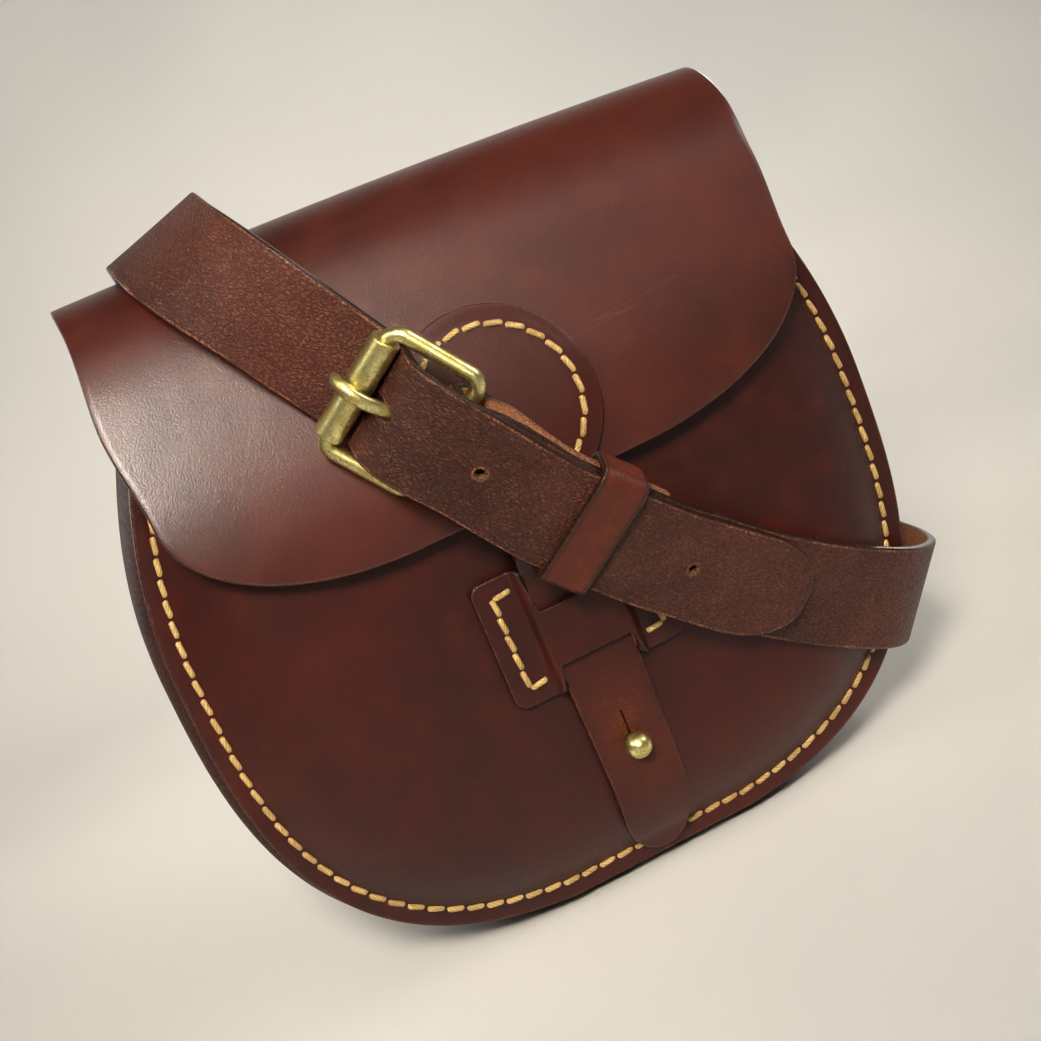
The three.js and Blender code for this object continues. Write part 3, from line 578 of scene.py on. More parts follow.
@dataclass(frozen=True)
class Leather(Finish):
    """Waxed, vegetable-tanned leather: grain face, suede flesh face, burnished cut edge and worn corners."""

    name: str
    deep: tuple
    full: tuple
    light: tuple
    worn: tuple
    edge: tuple
    flesh: tuple
    bare: tuple
    grain: float = 900.0
    grain_depth: float = 0.00007
    gloss: float = 0.42
    wear: float = 0.9
    wear_share: float = 0.6
    mottle: float = 0.34
    # Share of the deep colour in the grain's creases: partly the leather's own tone, partly painted shade.
    creased: float = 0.35
    # Share of the light colour on the grain's ridges: partly rub wear, partly painted highlight.
    ridge_highlight_and_rub: float = 0.15
    scratched: float = 0.16
    bald: float = 0.15
    coat: float = 0.12
    # Share of the wrinkles in the relief, and of painted shade in their grooves and painted highlight on
    # their crests, partly also the leather's own tone.
    wrinkled: float = 0.0
    burnished: float = 0.0
    places: Coordinates = Coordinates.OBJECT
    scales: Scales = Scales()
    wobble: float = 0.0014
    wrinkle_turn: float = 0.45
    burnished_width: float = 1.5
    scratch_turn: tuple[float, float, float] = (0.0, 0.5, 0.2)
    dent_depth: float = 0.00015
    coat_roughness: float = 0.28
    specular: float = 0.2

    def marks(self, g: Graph) -> Marks:
        """Builds the shared patterns.

        The grain is pebbles of random cells, bent by a fine wobble, and the wrinkles are the edges of longer
        cells. The mesh's value "edge" picks out the cut edge, "side" the flesh face and "raw" bare leather.

        Args:
            g: the material's graph.

        Returns:
            The patterns' sockets.
        """
        at, solid = g.place(self.places), g.place(Coordinates.OBJECT)
        edge, side, raw = g.value("edge"), g.value("side"), g.value("raw")
        noise = g.add("TexNoise", {"Vector": at, "Scale": self.scales.wobble, "Detail": 2.0}).outputs["Color"]
        bent = g.add("VectorMath", {0: noise, "Scale": self.wobble}, operation="SCALE").outputs["Vector"]
        moved = g.add("VectorMath", {0: at, 1: bent}, operation="ADD").outputs["Vector"]
        pebble = g.cells(g.stretched(moved, (1.35, 0.85, 1.0)), self.grain, "SMOOTH_F1")
        long_cells = g.stretched(moved, (1.0, 0.5, 1.0), (0.0, 0.0, self.wrinkle_turn))
        fold = g.cells(long_cells, self.scales.wrinkle, "DISTANCE_TO_EDGE")
        on_edge, on_flesh = g.ramp(edge, -0.10, -0.45), g.ramp(side, -0.3, -0.8)
        return Marks(
            at, solid, edge, raw, fine=g.noise(solid, 0.75 * self.grain, 3, 0.6), pebble=pebble,
            crease=g.ramp(pebble, 0.28, 0.62), fold=fold, groove=g.ramp(fold, 0.20, 0.02),
            fibre=g.ramp(g.noise(solid, self.scales.fibre, 4, 0.8), 0.36, 0.64), on_edge=on_edge,
            on_flesh=on_flesh, bare_share=g.sum("MAXIMUM", on_flesh, g.sum("MULTIPLY", on_edge, raw)),
        )

    def grain_colour(self, g: Graph, m: Marks) -> Socket:
        """Colour of the grain face: mottled at two scales, then darker creases and grooves and lighter ridges
        and crests, partly the leather's tone and partly painted shade and highlight, then scratches.

        Args:
            g: the material's graph.
            m: the leather's shared patterns.

        Returns:
            The colour's socket.
        """
        broad = g.ramp(g.noise(m.at, self.scales.broad, 2), 0.34, 0.68)
        cloud = g.ramp(g.noise(m.at, self.scales.cloud, 4, 0.6), 0.40, 0.74)
        patchy = g.ramp(g.noise(m.at, self.scales.patch, 3, 0.6), 0.35, 0.65, 0.35, 1.0)
        ridge = g.sum("MULTIPLY", g.ramp(m.pebble, 0.30, 0.06), patchy)
        crest = g.sum("MULTIPLY", g.ramp(m.fold, 0.16, 0.42), patchy)
        line = g.noise(g.stretched(m.at, (7, 60, 260), self.scratch_turn), 1.0, 0, 0.4)
        away = g.sum("ABSOLUTE", g.sum("SUBTRACT", line, 0.5), 0)
        patch = g.ramp(g.noise(g.stretched(m.at, (18, 30, 60), self.scratch_turn), 1.0, 1), 0.62, 0.70)
        scratch = g.sum("MULTIPLY", g.ramp(away, 0.012, 0.0), patch)
        colour = g.mix(broad, self.deep, self.full)
        # Creases and wrinkle grooves go darker and ridges and crests lighter: partly the leather's own tone,
        # partly painted shade in the hollows and painted highlight on the high points.
        layers = [
            (cloud, self.mottle, self.light), (m.crease, self.creased, self.deep),
            (ridge, self.ridge_highlight_and_rub, self.light), (crest, self.wrinkled * 0.45, self.light),
            (m.groove, self.wrinkled * 0.75, self.deep), (scratch, self.scratched, self.worn),
        ]
        for pattern, share, tint in layers:
            colour = g.mix(g.sum("MULTIPLY", pattern, share), colour, tint)
        return colour

    def colour(self, g: Graph, m: Marks) -> Socket:
        """Colour of the piece: the grain face, dark and rubbed near edges, then bare, cut and flesh parts.

        Args:
            g: the material's graph.
            m: the leather's shared patterns.

        Returns:
            The colour's socket.
        """
        speckle = g.ramp(g.noise(m.solid, self.scales.fibre, 3, 0.7), 0.44, 0.62)
        length = g.ramp(g.noise(m.solid, self.scales.rub, 2, 0.6), 0.38, 0.62, 0.25, 1.0)
        rub = g.sum("MULTIPLY", g.ramp(m.edge, self.wear, 0.05), g.sum("MULTIPLY", speckle, length))
        bare = g.mix(m.fibre, self.deep, self.bare)
        stain = g.ramp(g.noise(m.at, self.scales.stain, 3, 0.6), 0.25, 0.75, 0.25, 0.85)
        bald = g.ramp(g.noise(m.solid, self.scales.bald, 3, 0.6), 0.58, 0.70, 0, self.bald)
        nap = g.ramp(g.noise(m.solid, self.scales.nap, 4, 0.7), 0.35, 0.65)
        dark = g.ramp(m.edge, self.burnished_width, 0.5, 0, self.burnished)
        colour = g.mix(dark, self.grain_colour(g, m), self.edge)
        colour = g.mix(g.sum("MULTIPLY", rub, self.wear_share), colour, self.worn)
        colour = g.mix(g.sum("MULTIPLY", m.raw, stain), colour, bare)
        colour = g.mix(m.on_edge, colour, g.mix(g.sum("MAXIMUM", bald, m.raw), self.edge, bare))
        return g.mix(m.on_flesh, colour, g.mix(nap, self.flesh, self.bare))

    def roughness(self, g: Graph, m: Marks) -> Socket:
        """Roughness: finely uneven, higher in creases and on bare leather, lower on the burnished edge."""
        rough = g.ramp(m.fine, 0.3, 0.7, self.gloss - 0.06, self.gloss + 0.08)
        for pattern, share in ((m.crease, 0.12), (m.bare_share, 0.45), (m.on_edge, -0.2)):
            rough = g.sum("ADD", rough, g.sum("MULTIPLY", pattern, share))
        return rough

    def relief(self, g: Graph, m: Marks) -> Socket:
        """Relief: dents under pebbles and wrinkles, which fade at the cut edge, and fibres where bare."""
        dents = g.bump(g.noise(m.at, self.scales.dent, 2, 0.4), self.dent_depth)
        height = g.sum("ADD", g.sum("MULTIPLY", m.pebble, -0.8), g.sum("MULTIPLY", m.fine, 0.4))
        height = g.sum("SUBTRACT", height, g.sum("MULTIPLY", m.groove, self.wrinkled))
        height = g.sum("MULTIPLY", height, g.ramp(m.edge, -0.5, 0.4))
        fibres = g.sum("MULTIPLY", m.fibre, m.bare_share)
        height = g.sum("ADD", height, g.sum("MULTIPLY", fibres, 0.8))
        return g.bump(height, self.grain_depth, dents)

    def nodes(self, g: Graph) -> None:
        """Adds the leather's nodes: its colour, roughness and relief, under a thin coat of wax."""
        m = self.marks(g)
        relief = self.relief(g, m)
        g.set(g.shader, {
            "Base Color": self.colour(g, m), "Roughness": self.roughness(g, m), "Normal": relief,
            "Coat Normal": relief, "Coat Weight": self.coat, "Coat Roughness": self.coat_roughness,
            "Specular IOR Level": self.specular,
        })


@dataclass(frozen=True)
class Metal(Finish):
    """Aged brass: warm yellow worn bright on top of a darker, greener skin."""

    name: str
    bright: tuple
    dull: tuple
    dark: tuple

    def nodes(self, g: Graph) -> None:
        """Adds the metal's nodes: blotches, fine pits and hairline scratches."""
        at = g.place(Coordinates.OBJECT)
        blotch = g.ramp(g.noise(at, 240, 5, 0.7), 0.40, 0.64)
        pits = g.ramp(g.noise(at, 1300, 4, 0.75), 0.50, 0.66)
        scored = g.noise(g.stretched(at, (90, 1500, 300), (0.4, 0.2, 0.7)), 1.0, 2)
        colour = g.mix(blotch, self.dull, self.bright)
        colour = g.mix(g.sum("MULTIPLY", pits, 0.55), colour, self.dark)
        rough = g.sum("ADD", g.ramp(blotch, 0, 1, 0.38, 0.29), g.sum("MULTIPLY", pits, 0.16))
        relief = g.bump(g.noise(at, 420, 4, 0.6), 0.00008)
        relief = g.bump(scored, 0.00003, relief)
        g.set(g.shader, {"Base Color": colour, "Roughness": rough, "Normal": relief, "Metallic": 1.0})


@dataclass(frozen=True)
class Thread(Finish):
    """Waxed linen thread, twisted from plies that show as slanting bands, with painted shade between them."""

    name: str
    pale: tuple
    dark: tuple
    plies: float = 300.0
    twist: float = 0.7

    def nodes(self, g: Graph) -> None:
        """Adds the thread's nodes: bands across it, darker as painted shade between the plies, and a little
        dirt.
        """
        at = g.place(Coordinates.SURFACE)
        slanted = g.stretched(at, (1, 1, 1), (0, 0, self.twist))
        bands = g.add("TexWave", {"Vector": slanted, "Scale": self.plies, "Distortion": 0.4}).outputs["Fac"]
        dirt = g.ramp(g.noise(g.place(Coordinates.OBJECT), 160, 3), 0.40, 0.68)
        # The bands mix towards the dark tone: painted shade in the grooves between the plies, over the same
        # bands' relief.
        colour = g.mix(g.sum("MULTIPLY", g.sum("SUBTRACT", 1.0, bands), 0.45), self.pale, self.dark)
        colour = g.mix(g.sum("MULTIPLY", dirt, 0.5), colour, self.dark)
        relief = g.bump(bands, 0.00012)
        g.set(g.shader, {"Base Color": colour, "Normal": relief, "Roughness": 0.62})


RED_BROWN = Leather(
    name="red_brown_panel", deep=rgb(52, 17, 10), full=rgb(73, 26, 15), light=rgb(94, 39, 23),
    worn=rgb(140, 84, 58), edge=rgb(30, 15, 12), flesh=rgb(140, 92, 66), bare=rgb(126, 56, 26), wear=0.5,
    wear_share=0.4, grain=2000.0, grain_depth=0.00005, gloss=0.40, coat=0.62,
)
# A darker copy of the flap's leather with less wax, for the tongue that lies on the front: painted shade on
# what is the same leather as the flap.
TONGUE_PAINTED_SHADE_BROWN = replace(
    RED_BROWN, name="red_brown_tongue_painted_shade", full=rgb(63, 20, 10), light=rgb(82, 31, 16), coat=0.24,
)
# A darker copy of the flap's leather for the front panel and keeper: painted shade on what is the same
# leather as the flap.
PAINTED_SHADE_FRONT_BROWN = replace(
    RED_BROWN, name="painted_shade_brown_front", deep=rgb(44, 10, 5), full=rgb(62, 14, 7), light=rgb(84, 25, 13),
    coat=0.3,
)
DARK_BROWN = Leather(
    name="dark_brown_gusset", deep=rgb(38, 17, 11), full=rgb(58, 27, 18), light=rgb(76, 38, 26),
    worn=rgb(98, 58, 40), edge=rgb(30, 15, 12), flesh=rgb(120, 80, 58), bare=rgb(104, 54, 32), gloss=0.6,
    wear_share=0.3, coat=0.0,
)
# The strap's creased and wrinkled shares put painted shade in its grain's hollows and painted highlight on
# its crests, partly with the leather's own tone.
GRAINED_BROWN = Leather(
    name="grained_strap", deep=rgb(48, 23, 16), full=rgb(90, 46, 34), light=rgb(134, 86, 67),
    worn=rgb(178, 110, 74), edge=rgb(38, 22, 17), flesh=rgb(138, 86, 58), bare=rgb(184, 124, 86),
    grain=1050.0, grain_depth=0.0002, gloss=0.46, coat=0.08, wear=0.7, wear_share=0.85, mottle=0.2,
    creased=0.3, bald=0.2, wrinkled=0.8, burnished=0.35, places=Coordinates.SURFACE,
)
# The loop's wrinkled share puts painted shade in its wrinkle grooves and painted highlight on their crests,
# partly with the leather's own tone.
TAN_BROWN = Leather(
    name="tan_brown_loop", deep=rgb(68, 25, 12), full=rgb(102, 40, 20), light=rgb(130, 58, 32),
    worn=rgb(156, 90, 58), edge=rgb(36, 20, 15), flesh=rgb(150, 94, 62), bare=rgb(150, 84, 50),
    grain=1700.0, grain_depth=0.00012, coat=0.2, wear=0.4, wear_share=0.3, wrinkled=0.35, burnished=0.75,
    places=Coordinates.SURFACE,
)
AGED_BRASS = Metal("aged_brass", bright=rgb(246, 234, 164), dull=rgb(204, 188, 116), dark=rgb(74, 62, 32))
OCHRE_THREAD = Thread("ochre_thread", pale=rgb(212, 180, 112), dark=rgb(140, 98, 46))


def dress(body: Body, name: str, finish: Finish,
          stands_for: tuple[str, ...] = ()) -> bpy.types.Object:
    """Puts a finished body into the scene as a piece of the bag.

    Args:
        body: the piece's mesh.
        name: its name.
        finish: what it is made of.
        stands_for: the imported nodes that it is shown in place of.

    Returns:
        The piece.
    """
    piece = body.mesh_object(name, finish.material())
    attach(piece, "root")
    if stands_for:
        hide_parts(*stands_for)
    log.info("%s: %d points, %d faces", name, len(body.points), len(body.faces))
    return piece


@dataclass(frozen=True)
class BagShape:
    """Sizes of the bag's body, and the outline and swell that its pieces share."""

    leather: float = 3.0
    gap: float = 0.3
    half_width: float = 116.5
    mouth_half: float = 96.5
    widest_z: float = 120.0
    mouth_z: float = 198.0
    edge_z: float = 4.0
    corner_power: float = 2.85
    foot_cut: float = 1.0
    half_depth: float = 24.0
    seam_margin: float = 6.0
    bulge: float = 14.0
    bulge_rise: float = 36.0
    bulge_power: float = 2.4
    draw_start_z: float = 140.0
    draw_share: float = 0.8
    stitch_inset: float = 5.2

    @property
    def lower_height(self) -> float:
        """Height of the rounded part below the widest place."""
        return self.widest_z - self.edge_z + self.foot_cut

    def half_at(self, z: Array) -> Array:
        """Half the panel's width at a height: a superellipse below the widest place, a parabola above."""
        share = np.clip((self.widest_z - z) / self.lower_height, 0, 1)
        low = self.half_width * (1 - share**self.corner_power) ** (1 / self.corner_power)
        high = (np.maximum(z, self.widest_z) - self.widest_z) / (self.mouth_z - self.widest_z)
        upper = self.half_width - (self.half_width - self.mouth_half) * high**2
        return np.where(z <= self.widest_z, low, upper)

    def lower_heights(self, count: int) -> Array:
        """Heights from the bottom edge to the widest place, at equal turns of the superellipse's angle."""
        start = math.acos(((self.widest_z - self.edge_z) / self.lower_height) ** (self.corner_power / 2))
        turn = np.cos(np.linspace(start, np.pi / 2, count))
        return self.widest_z - self.lower_height * np.maximum(turn, 0) ** (2 / self.corner_power)

    def outline(self, count: int, inset: float = 0.0) -> Array:
        """The sewn edge from the left of the mouth, round the bottom, to the right.

        Args:
            count: how many points, at equal steps.
            inset: how far inside the edge the line runs.

        Returns:
            Rows of x and z.
        """
        z = np.concatenate([self.lower_heights(400), np.linspace(self.widest_z, self.mouth_z, 120)[1:]])
        right = np.stack([self.half_at(z), z], -1)
        middle = np.array([[0.0, self.edge_z]])
        line = spaced(np.concatenate([right[::-1] * [-1, 1], middle, right]), 4 * count)
        run = unit(np.gradient(line, axis=0))
        return spaced(line + inset * np.stack([-run[:, 1], run[:, 0]], -1), count)

    def seam_distance(self, x: Array, z: Array) -> Array:
        """Distance from places on a panel to its sewn edge."""
        line = self.outline(201)
        places = np.stack([np.ravel(x), np.ravel(z)], -1)
        return distance_to_lines(places, line[:-1], line[1:]).reshape(np.shape(x))

    def front_y(self, x: Array, z: Array) -> Array:
        """Depth of the front panel's face: flat at the seam, then 1 - (1 - rise)^power of the bulge.

        Args:
            x: places across.
            z: heights.

        Returns:
            The depth at each place, drawn in towards the mouth.
        """
        rise = np.clip((self.seam_distance(x, z) - self.seam_margin) / self.bulge_rise, 0, 1)
        pillow = 1 - (1 - rise) ** self.bulge_power
        draw = np.clip((z - self.draw_start_z) / (self.mouth_z - self.draw_start_z), 0, 1)
        swell = self.bulge * pillow * (1 - self.draw_share * draw**2)
        return -self.half_depth - self.leather - swell


@dataclass(frozen=True)
class Seam:
    """A row of hand stitches."""

    pitch: float = 6.4
    length: float = 6.3
    thread: float = 0.92
    rise: float = 0.45
    dip: float = 1.1
    slant: float = 0.12
    rings: int = 9
    sides: int = 8

    def body(self, line: Array, up: Array) -> Body:
        """Stitches along a line on a surface.

        Each is a short round thread: at share t from -1 to 1 along it, its height over the leather is
        rise - (rise + dip) * t^6, so both ends go down into their holes, and it is turned by the slant.

        Args:
            line: points of the seam on the surface.
            up: outward normals there.

        Returns:
            All the stitches as one body.
        """
        length = run_lengths(line)
        count = max(1, round(length[-1] / self.pitch))
        at = (np.arange(count) + 0.5) * length[-1] / count
        run = unit(read_rows(at, length, np.gradient(line, axis=0)))
        out = read_rows(at, length, up)
        out = unit(out - (out * run).sum(-1, keepdims=True) * run)
        run = math.cos(self.slant) * run + math.sin(self.slant) * np.cross(out, run)
        wide = np.cross(out, run)
        t = np.linspace(-1, 1, self.rings)
        turn = np.linspace(0, 2 * np.pi, self.sides, endpoint=False)
        radius = self.thread * (1 - 0.3 * t**6)
        x = np.broadcast_to(t[:, None] * self.length / 2, (self.rings, self.sides))
        y = radius[:, None] * np.cos(turn)
        z = (self.rise - (self.rise + self.dip) * t**6)[:, None] + 0.85 * radius[:, None] * np.sin(turn)
        local = np.stack([x, y, z], -1).reshape(-1, 3)
        axes = np.stack([run, wide, out], 1)
        points = read_rows(at, length, line)[:, None] + local @ axes
        ends = cap_faces(np.arange(self.sides))
        tops = ends[:, ::-1] + (self.rings - 1) * self.sides
        around = grid_faces(self.rings, self.sides, wrap_cols=True)
        one = np.concatenate([around, ends, tops])[:, ::-1]
        size = self.rings * self.sides
        faces = (one + size * np.arange(count)[:, None, None]).reshape(-1, 4)
        girth = np.broadcast_to(turn * self.thread, (self.rings, self.sides))
        uv = np.tile(np.stack([girth, x], -1).reshape(-1, 2), (count, 1))
        body = Body(points.reshape(-1, 3), faces, uv)
        middle = np.repeat(points.mean(1), size, axis=0)
        if (point_normals(body.points, faces) * (body.points - middle)).sum() < 0:
            body.faces = faces[:, ::-1]
        return body


@dataclass
class FrontPanel:
    """The swelling front of the bag, sewn to the gusset round its edge."""

    shape: BagShape
    columns: int = 321
    rows: int = 58
    spine_low: float = 78.0
    groove: float = 0.5
    groove_width: float = 1.0

    def face_y(self, x: Array, z: Array) -> Array:
        """Depth of the face with the shallow groove that the stitches lie in."""
        off = (self.shape.seam_distance(x, z) - self.shape.stitch_inset) / self.groove_width
        return self.shape.front_y(x, z) + self.groove * np.exp(-off * off)

    def skin(self) -> Skin:
        """The face as columns that run from the sewn edge in to an upright line in the middle.

        Column u starts at the outline's point and ends on the line x = 0, at a height that falls from the
        mouth to spine_low and rises again, so that both halves meet there point by point.

        Returns:
            The panel's grain face.
        """
        s = self.shape
        edge = s.outline(self.columns)
        turn = np.abs(np.linspace(-1, 1, self.columns))
        spine = self.spine_low + (s.mouth_z - self.spine_low) * turn**1.5
        v = np.linspace(0, 1, self.rows)
        share = 0.55 * v + 0.45 * v**2
        x = edge[:, :1] * (1 - share)
        z = edge[:, 1:] + (spine[:, None] - edge[:, 1:]) * share
        index = np.arange(x.size).reshape(x.shape)
        half = self.columns // 2
        index[half + 1:, -1] = index[:half, -1][::-1]
        faces = index.ravel()[grid_faces(*x.shape)]
        points = np.stack([x, self.face_y(x, z), z], -1).reshape(-1, 3)
        return Skin.of_used(points, faces, points[:, [0, 2]], FORWARD)[0]

    def build(self) -> None:
        """Makes the panel and its stitches."""
        s = self.shape
        # The front takes the darker copy of the flap's leather, which is painted shade.
        dress(self.skin().leather(s.leather, bulge=0.5), "front", PAINTED_SHADE_FRONT_BROWN, ("front_panel",))
        line = s.outline(400, s.stitch_inset)
        depth = self.face_y(line[:, 0], line[:, 1])
        points = np.stack([line[:, 0], depth, line[:, 1]], -1)
        up = np.tile(FORWARD, (len(points), 1))
        dress(Seam().body(points, up), "front_stitches", OCHRE_THREAD)


@dataclass
class Gusset:
    """The strip between the panels, turned in along both edges."""

    shape: BagShape
    flange: float = 9.0
    bulge: float = 4.0
    corner: float = 3.2
    foot_power: float = 10.0
    side_power: float = 5.0
    foot_height: float = 12.0
    mouth_fade: float = 0.7
    columns: int = 261

    def profile(self) -> Array:
        """The strip's section, flange to flange: rows of depth in, depth y and share across the web."""
        reach = self.shape.half_depth - self.shape.gap
        flat = np.linspace(-self.flange, -self.corner, 7)[:-1]
        turn = np.linspace(0, np.pi / 2, 7)
        bend = np.stack([self.corner * (np.sin(turn) - 1), self.corner * (1 - np.cos(turn)) - reach], -1)
        start = np.stack([flat, np.full_like(flat, -reach)], -1)
        web = np.linspace(-1, 1, 31)[1:-1]
        middle = np.stack([np.zeros_like(web), web * (reach - self.corner)], -1)
        half = np.concatenate([start, bend])
        rows = np.concatenate([half, middle, half[::-1] * [1, -1]])
        across = np.clip(rows[:, 1] / (reach - self.corner), -1, 1)
        return np.column_stack([rows, across])

    def build(self) -> None:
        """Makes the strip by carrying its section along the outline, square to it.

        The web stands out by bulge * (1 - |s|^p), where s runs from -1 to 1 across it. The power p is high
        under the bag, which gives it a flat foot, and lower up the sides, and the bulge fades at the mouth.
        """
        s = self.shape
        line = s.outline(self.columns)
        run = unit(np.gradient(line, axis=0))
        out = np.stack([run[:, 1], -run[:, 0]], -1)
        x, z = line[:, :1], line[:, 1:]
        section = self.profile()
        risen = smoothstep(s.edge_z, s.edge_z + self.foot_height, z)
        power = self.foot_power + (self.side_power - self.foot_power) * risen
        swell = self.bulge * (1 - self.mouth_fade * smoothstep(s.widest_z, s.mouth_z, z))
        deep = section[:, 0] + swell * (1 - np.abs(section[:, 2]) ** power)
        y = np.broadcast_to(section[:, 1], deep.shape)
        points = np.stack([x + out[:, :1] * deep, y, z + out[:, 1:] * deep], -1)
        towards = np.stack([out[:, 0], np.zeros(len(out)), out[:, 1]], -1)
        towards = np.repeat(towards, len(section), axis=0)
        girth = np.cumsum(np.hypot(*np.gradient(section[:, :2], axis=0).T))
        uv = over_grid(girth, np.linspace(0, run_lengths(line)[-1], len(line))[:, None])
        skin = Skin(points.reshape(-1, 3), grid_faces(*deep.shape), uv, towards)
        dress(skin.leather(s.leather, bulge=0.4), "side_strip", DARK_BROWN, ("gusset",))


@dataclass
class BackAndFlap:
    """The back panel, which goes over the top and down the front as the flap."""

    shape: BagShape
    flap_half: float = 103.0
    fold_half: float = 105.5
    end_half: float = 36.0
    corner_height: float = 36.0
    start_z: float = 198.0
    end_z: float = 134.0
    start_y: float = -34.0
    lean: float = 15.5
    handle: float = 44.0
    crown: float = 2.0
    tilt: float = -0.04
    shift: float = 3.0
    settle_height: float = 26.0
    columns: int = 81
    inside: tuple[float, float, float] = (0.0, -4.0, 150.0)
    stitch_sink: float = 0.15

    def flap_y(self, z: Array) -> Array:
        """Depth of the flap's face: leans out as a quarter sine from its start to its lower edge."""
        share = np.clip((self.start_z - z) / (self.start_z - self.end_z), 0, 1)
        return self.start_y - self.lean * np.sin(np.pi / 2 * share)

    def flap_half_at(self, above: Array) -> Array:
        """Half the flap's width by the height above its lower edge, with round corners."""
        turn = 1 - np.clip(above / self.corner_height, 0, 1)
        widened = smoothstep(self.corner_height, self.start_z - self.end_z, above)
        rounded = self.end_half + (self.flap_half - self.end_half) * np.sqrt(1 - turn**2)
        return rounded + (self.fold_half - self.flap_half) * widened

    def line(self) -> Array:
        """The face's line from the base up the back, over the fold and down the front.

        The fold is a cubic curve with handles of the same length straight up the back and along the flap.

        Returns:
            Rows of depth, height and half width.
        """
        s = self.shape
        back = s.half_depth + s.leather
        z = np.concatenate([s.lower_heights(64), np.linspace(s.widest_z, s.mouth_z, 24)[1:]])
        rise = np.stack([np.full_like(z, back), z, s.half_at(z)], -1)
        slope = self.lean * np.pi / 2 / (self.start_z - self.end_z)
        down = unit(np.array([-slope, -1.0]))
        ends = np.array([[back, s.mouth_z], [self.start_y, self.start_z]])
        first = ends[0] + [0, self.handle]
        second = ends[1] - self.handle * down
        t = np.linspace(0, 1, 49)[1:, None]
        over = ends[0] * (1 - t) ** 3 + 3 * first * t * (1 - t) ** 2
        over = over + 3 * second * t**2 * (1 - t) + ends[1] * t**3
        wide = s.mouth_half + (self.fold_half - s.mouth_half) * smoothstep(0, 0.45, t)
        turn = np.linspace(0, np.pi / 2, 49)[1:]
        z = self.start_z - (self.start_z - self.end_z) * np.sin(turn)
        fall = np.stack([self.flap_y(z), z, self.flap_half_at(z - self.end_z)], -1)
        return np.concatenate([rise, np.hstack([over, wide]), fall])

    def build(self) -> None:
        """Makes the panel with its flap, and the stitches round the back."""
        s = self.shape
        rows = self.line()
        t = np.linspace(-1, 1, self.columns)
        side = 0.7 * t + 0.3 * np.sin(np.pi / 2 * t)
        high = smoothstep(self.start_z, self.start_z + self.settle_height, rows[:, 1:2])
        lift = self.crown * (1 - side**2) + self.tilt * side * rows[:, 2:]
        x = side * rows[:, 2:] + self.shift * high
        y = np.broadcast_to(rows[:, :1], x.shape)
        z = rows[:, 1:2] + lift * high
        uv = over_grid(x, run_lengths(rows[:, :2])[:, None])
        points = np.stack([x, y, z], -1).reshape(-1, 3)
        skin = Skin(points, grid_faces(*x.shape), uv, points - self.inside)
        dress(skin.leather(s.leather, bulge=0.6), "back_with_flap", RED_BROWN, ("back_and_flap",))
        line = s.outline(400, s.stitch_inset)
        depth = np.full(len(line), s.half_depth + s.leather - self.stitch_sink)
        seam = np.stack([line[:, 0], depth, line[:, 1]], -1)
        up = np.tile(BACKWARD, (len(seam), 1))
        dress(Seam().body(seam, up), "back_stitches", OCHRE_THREAD)


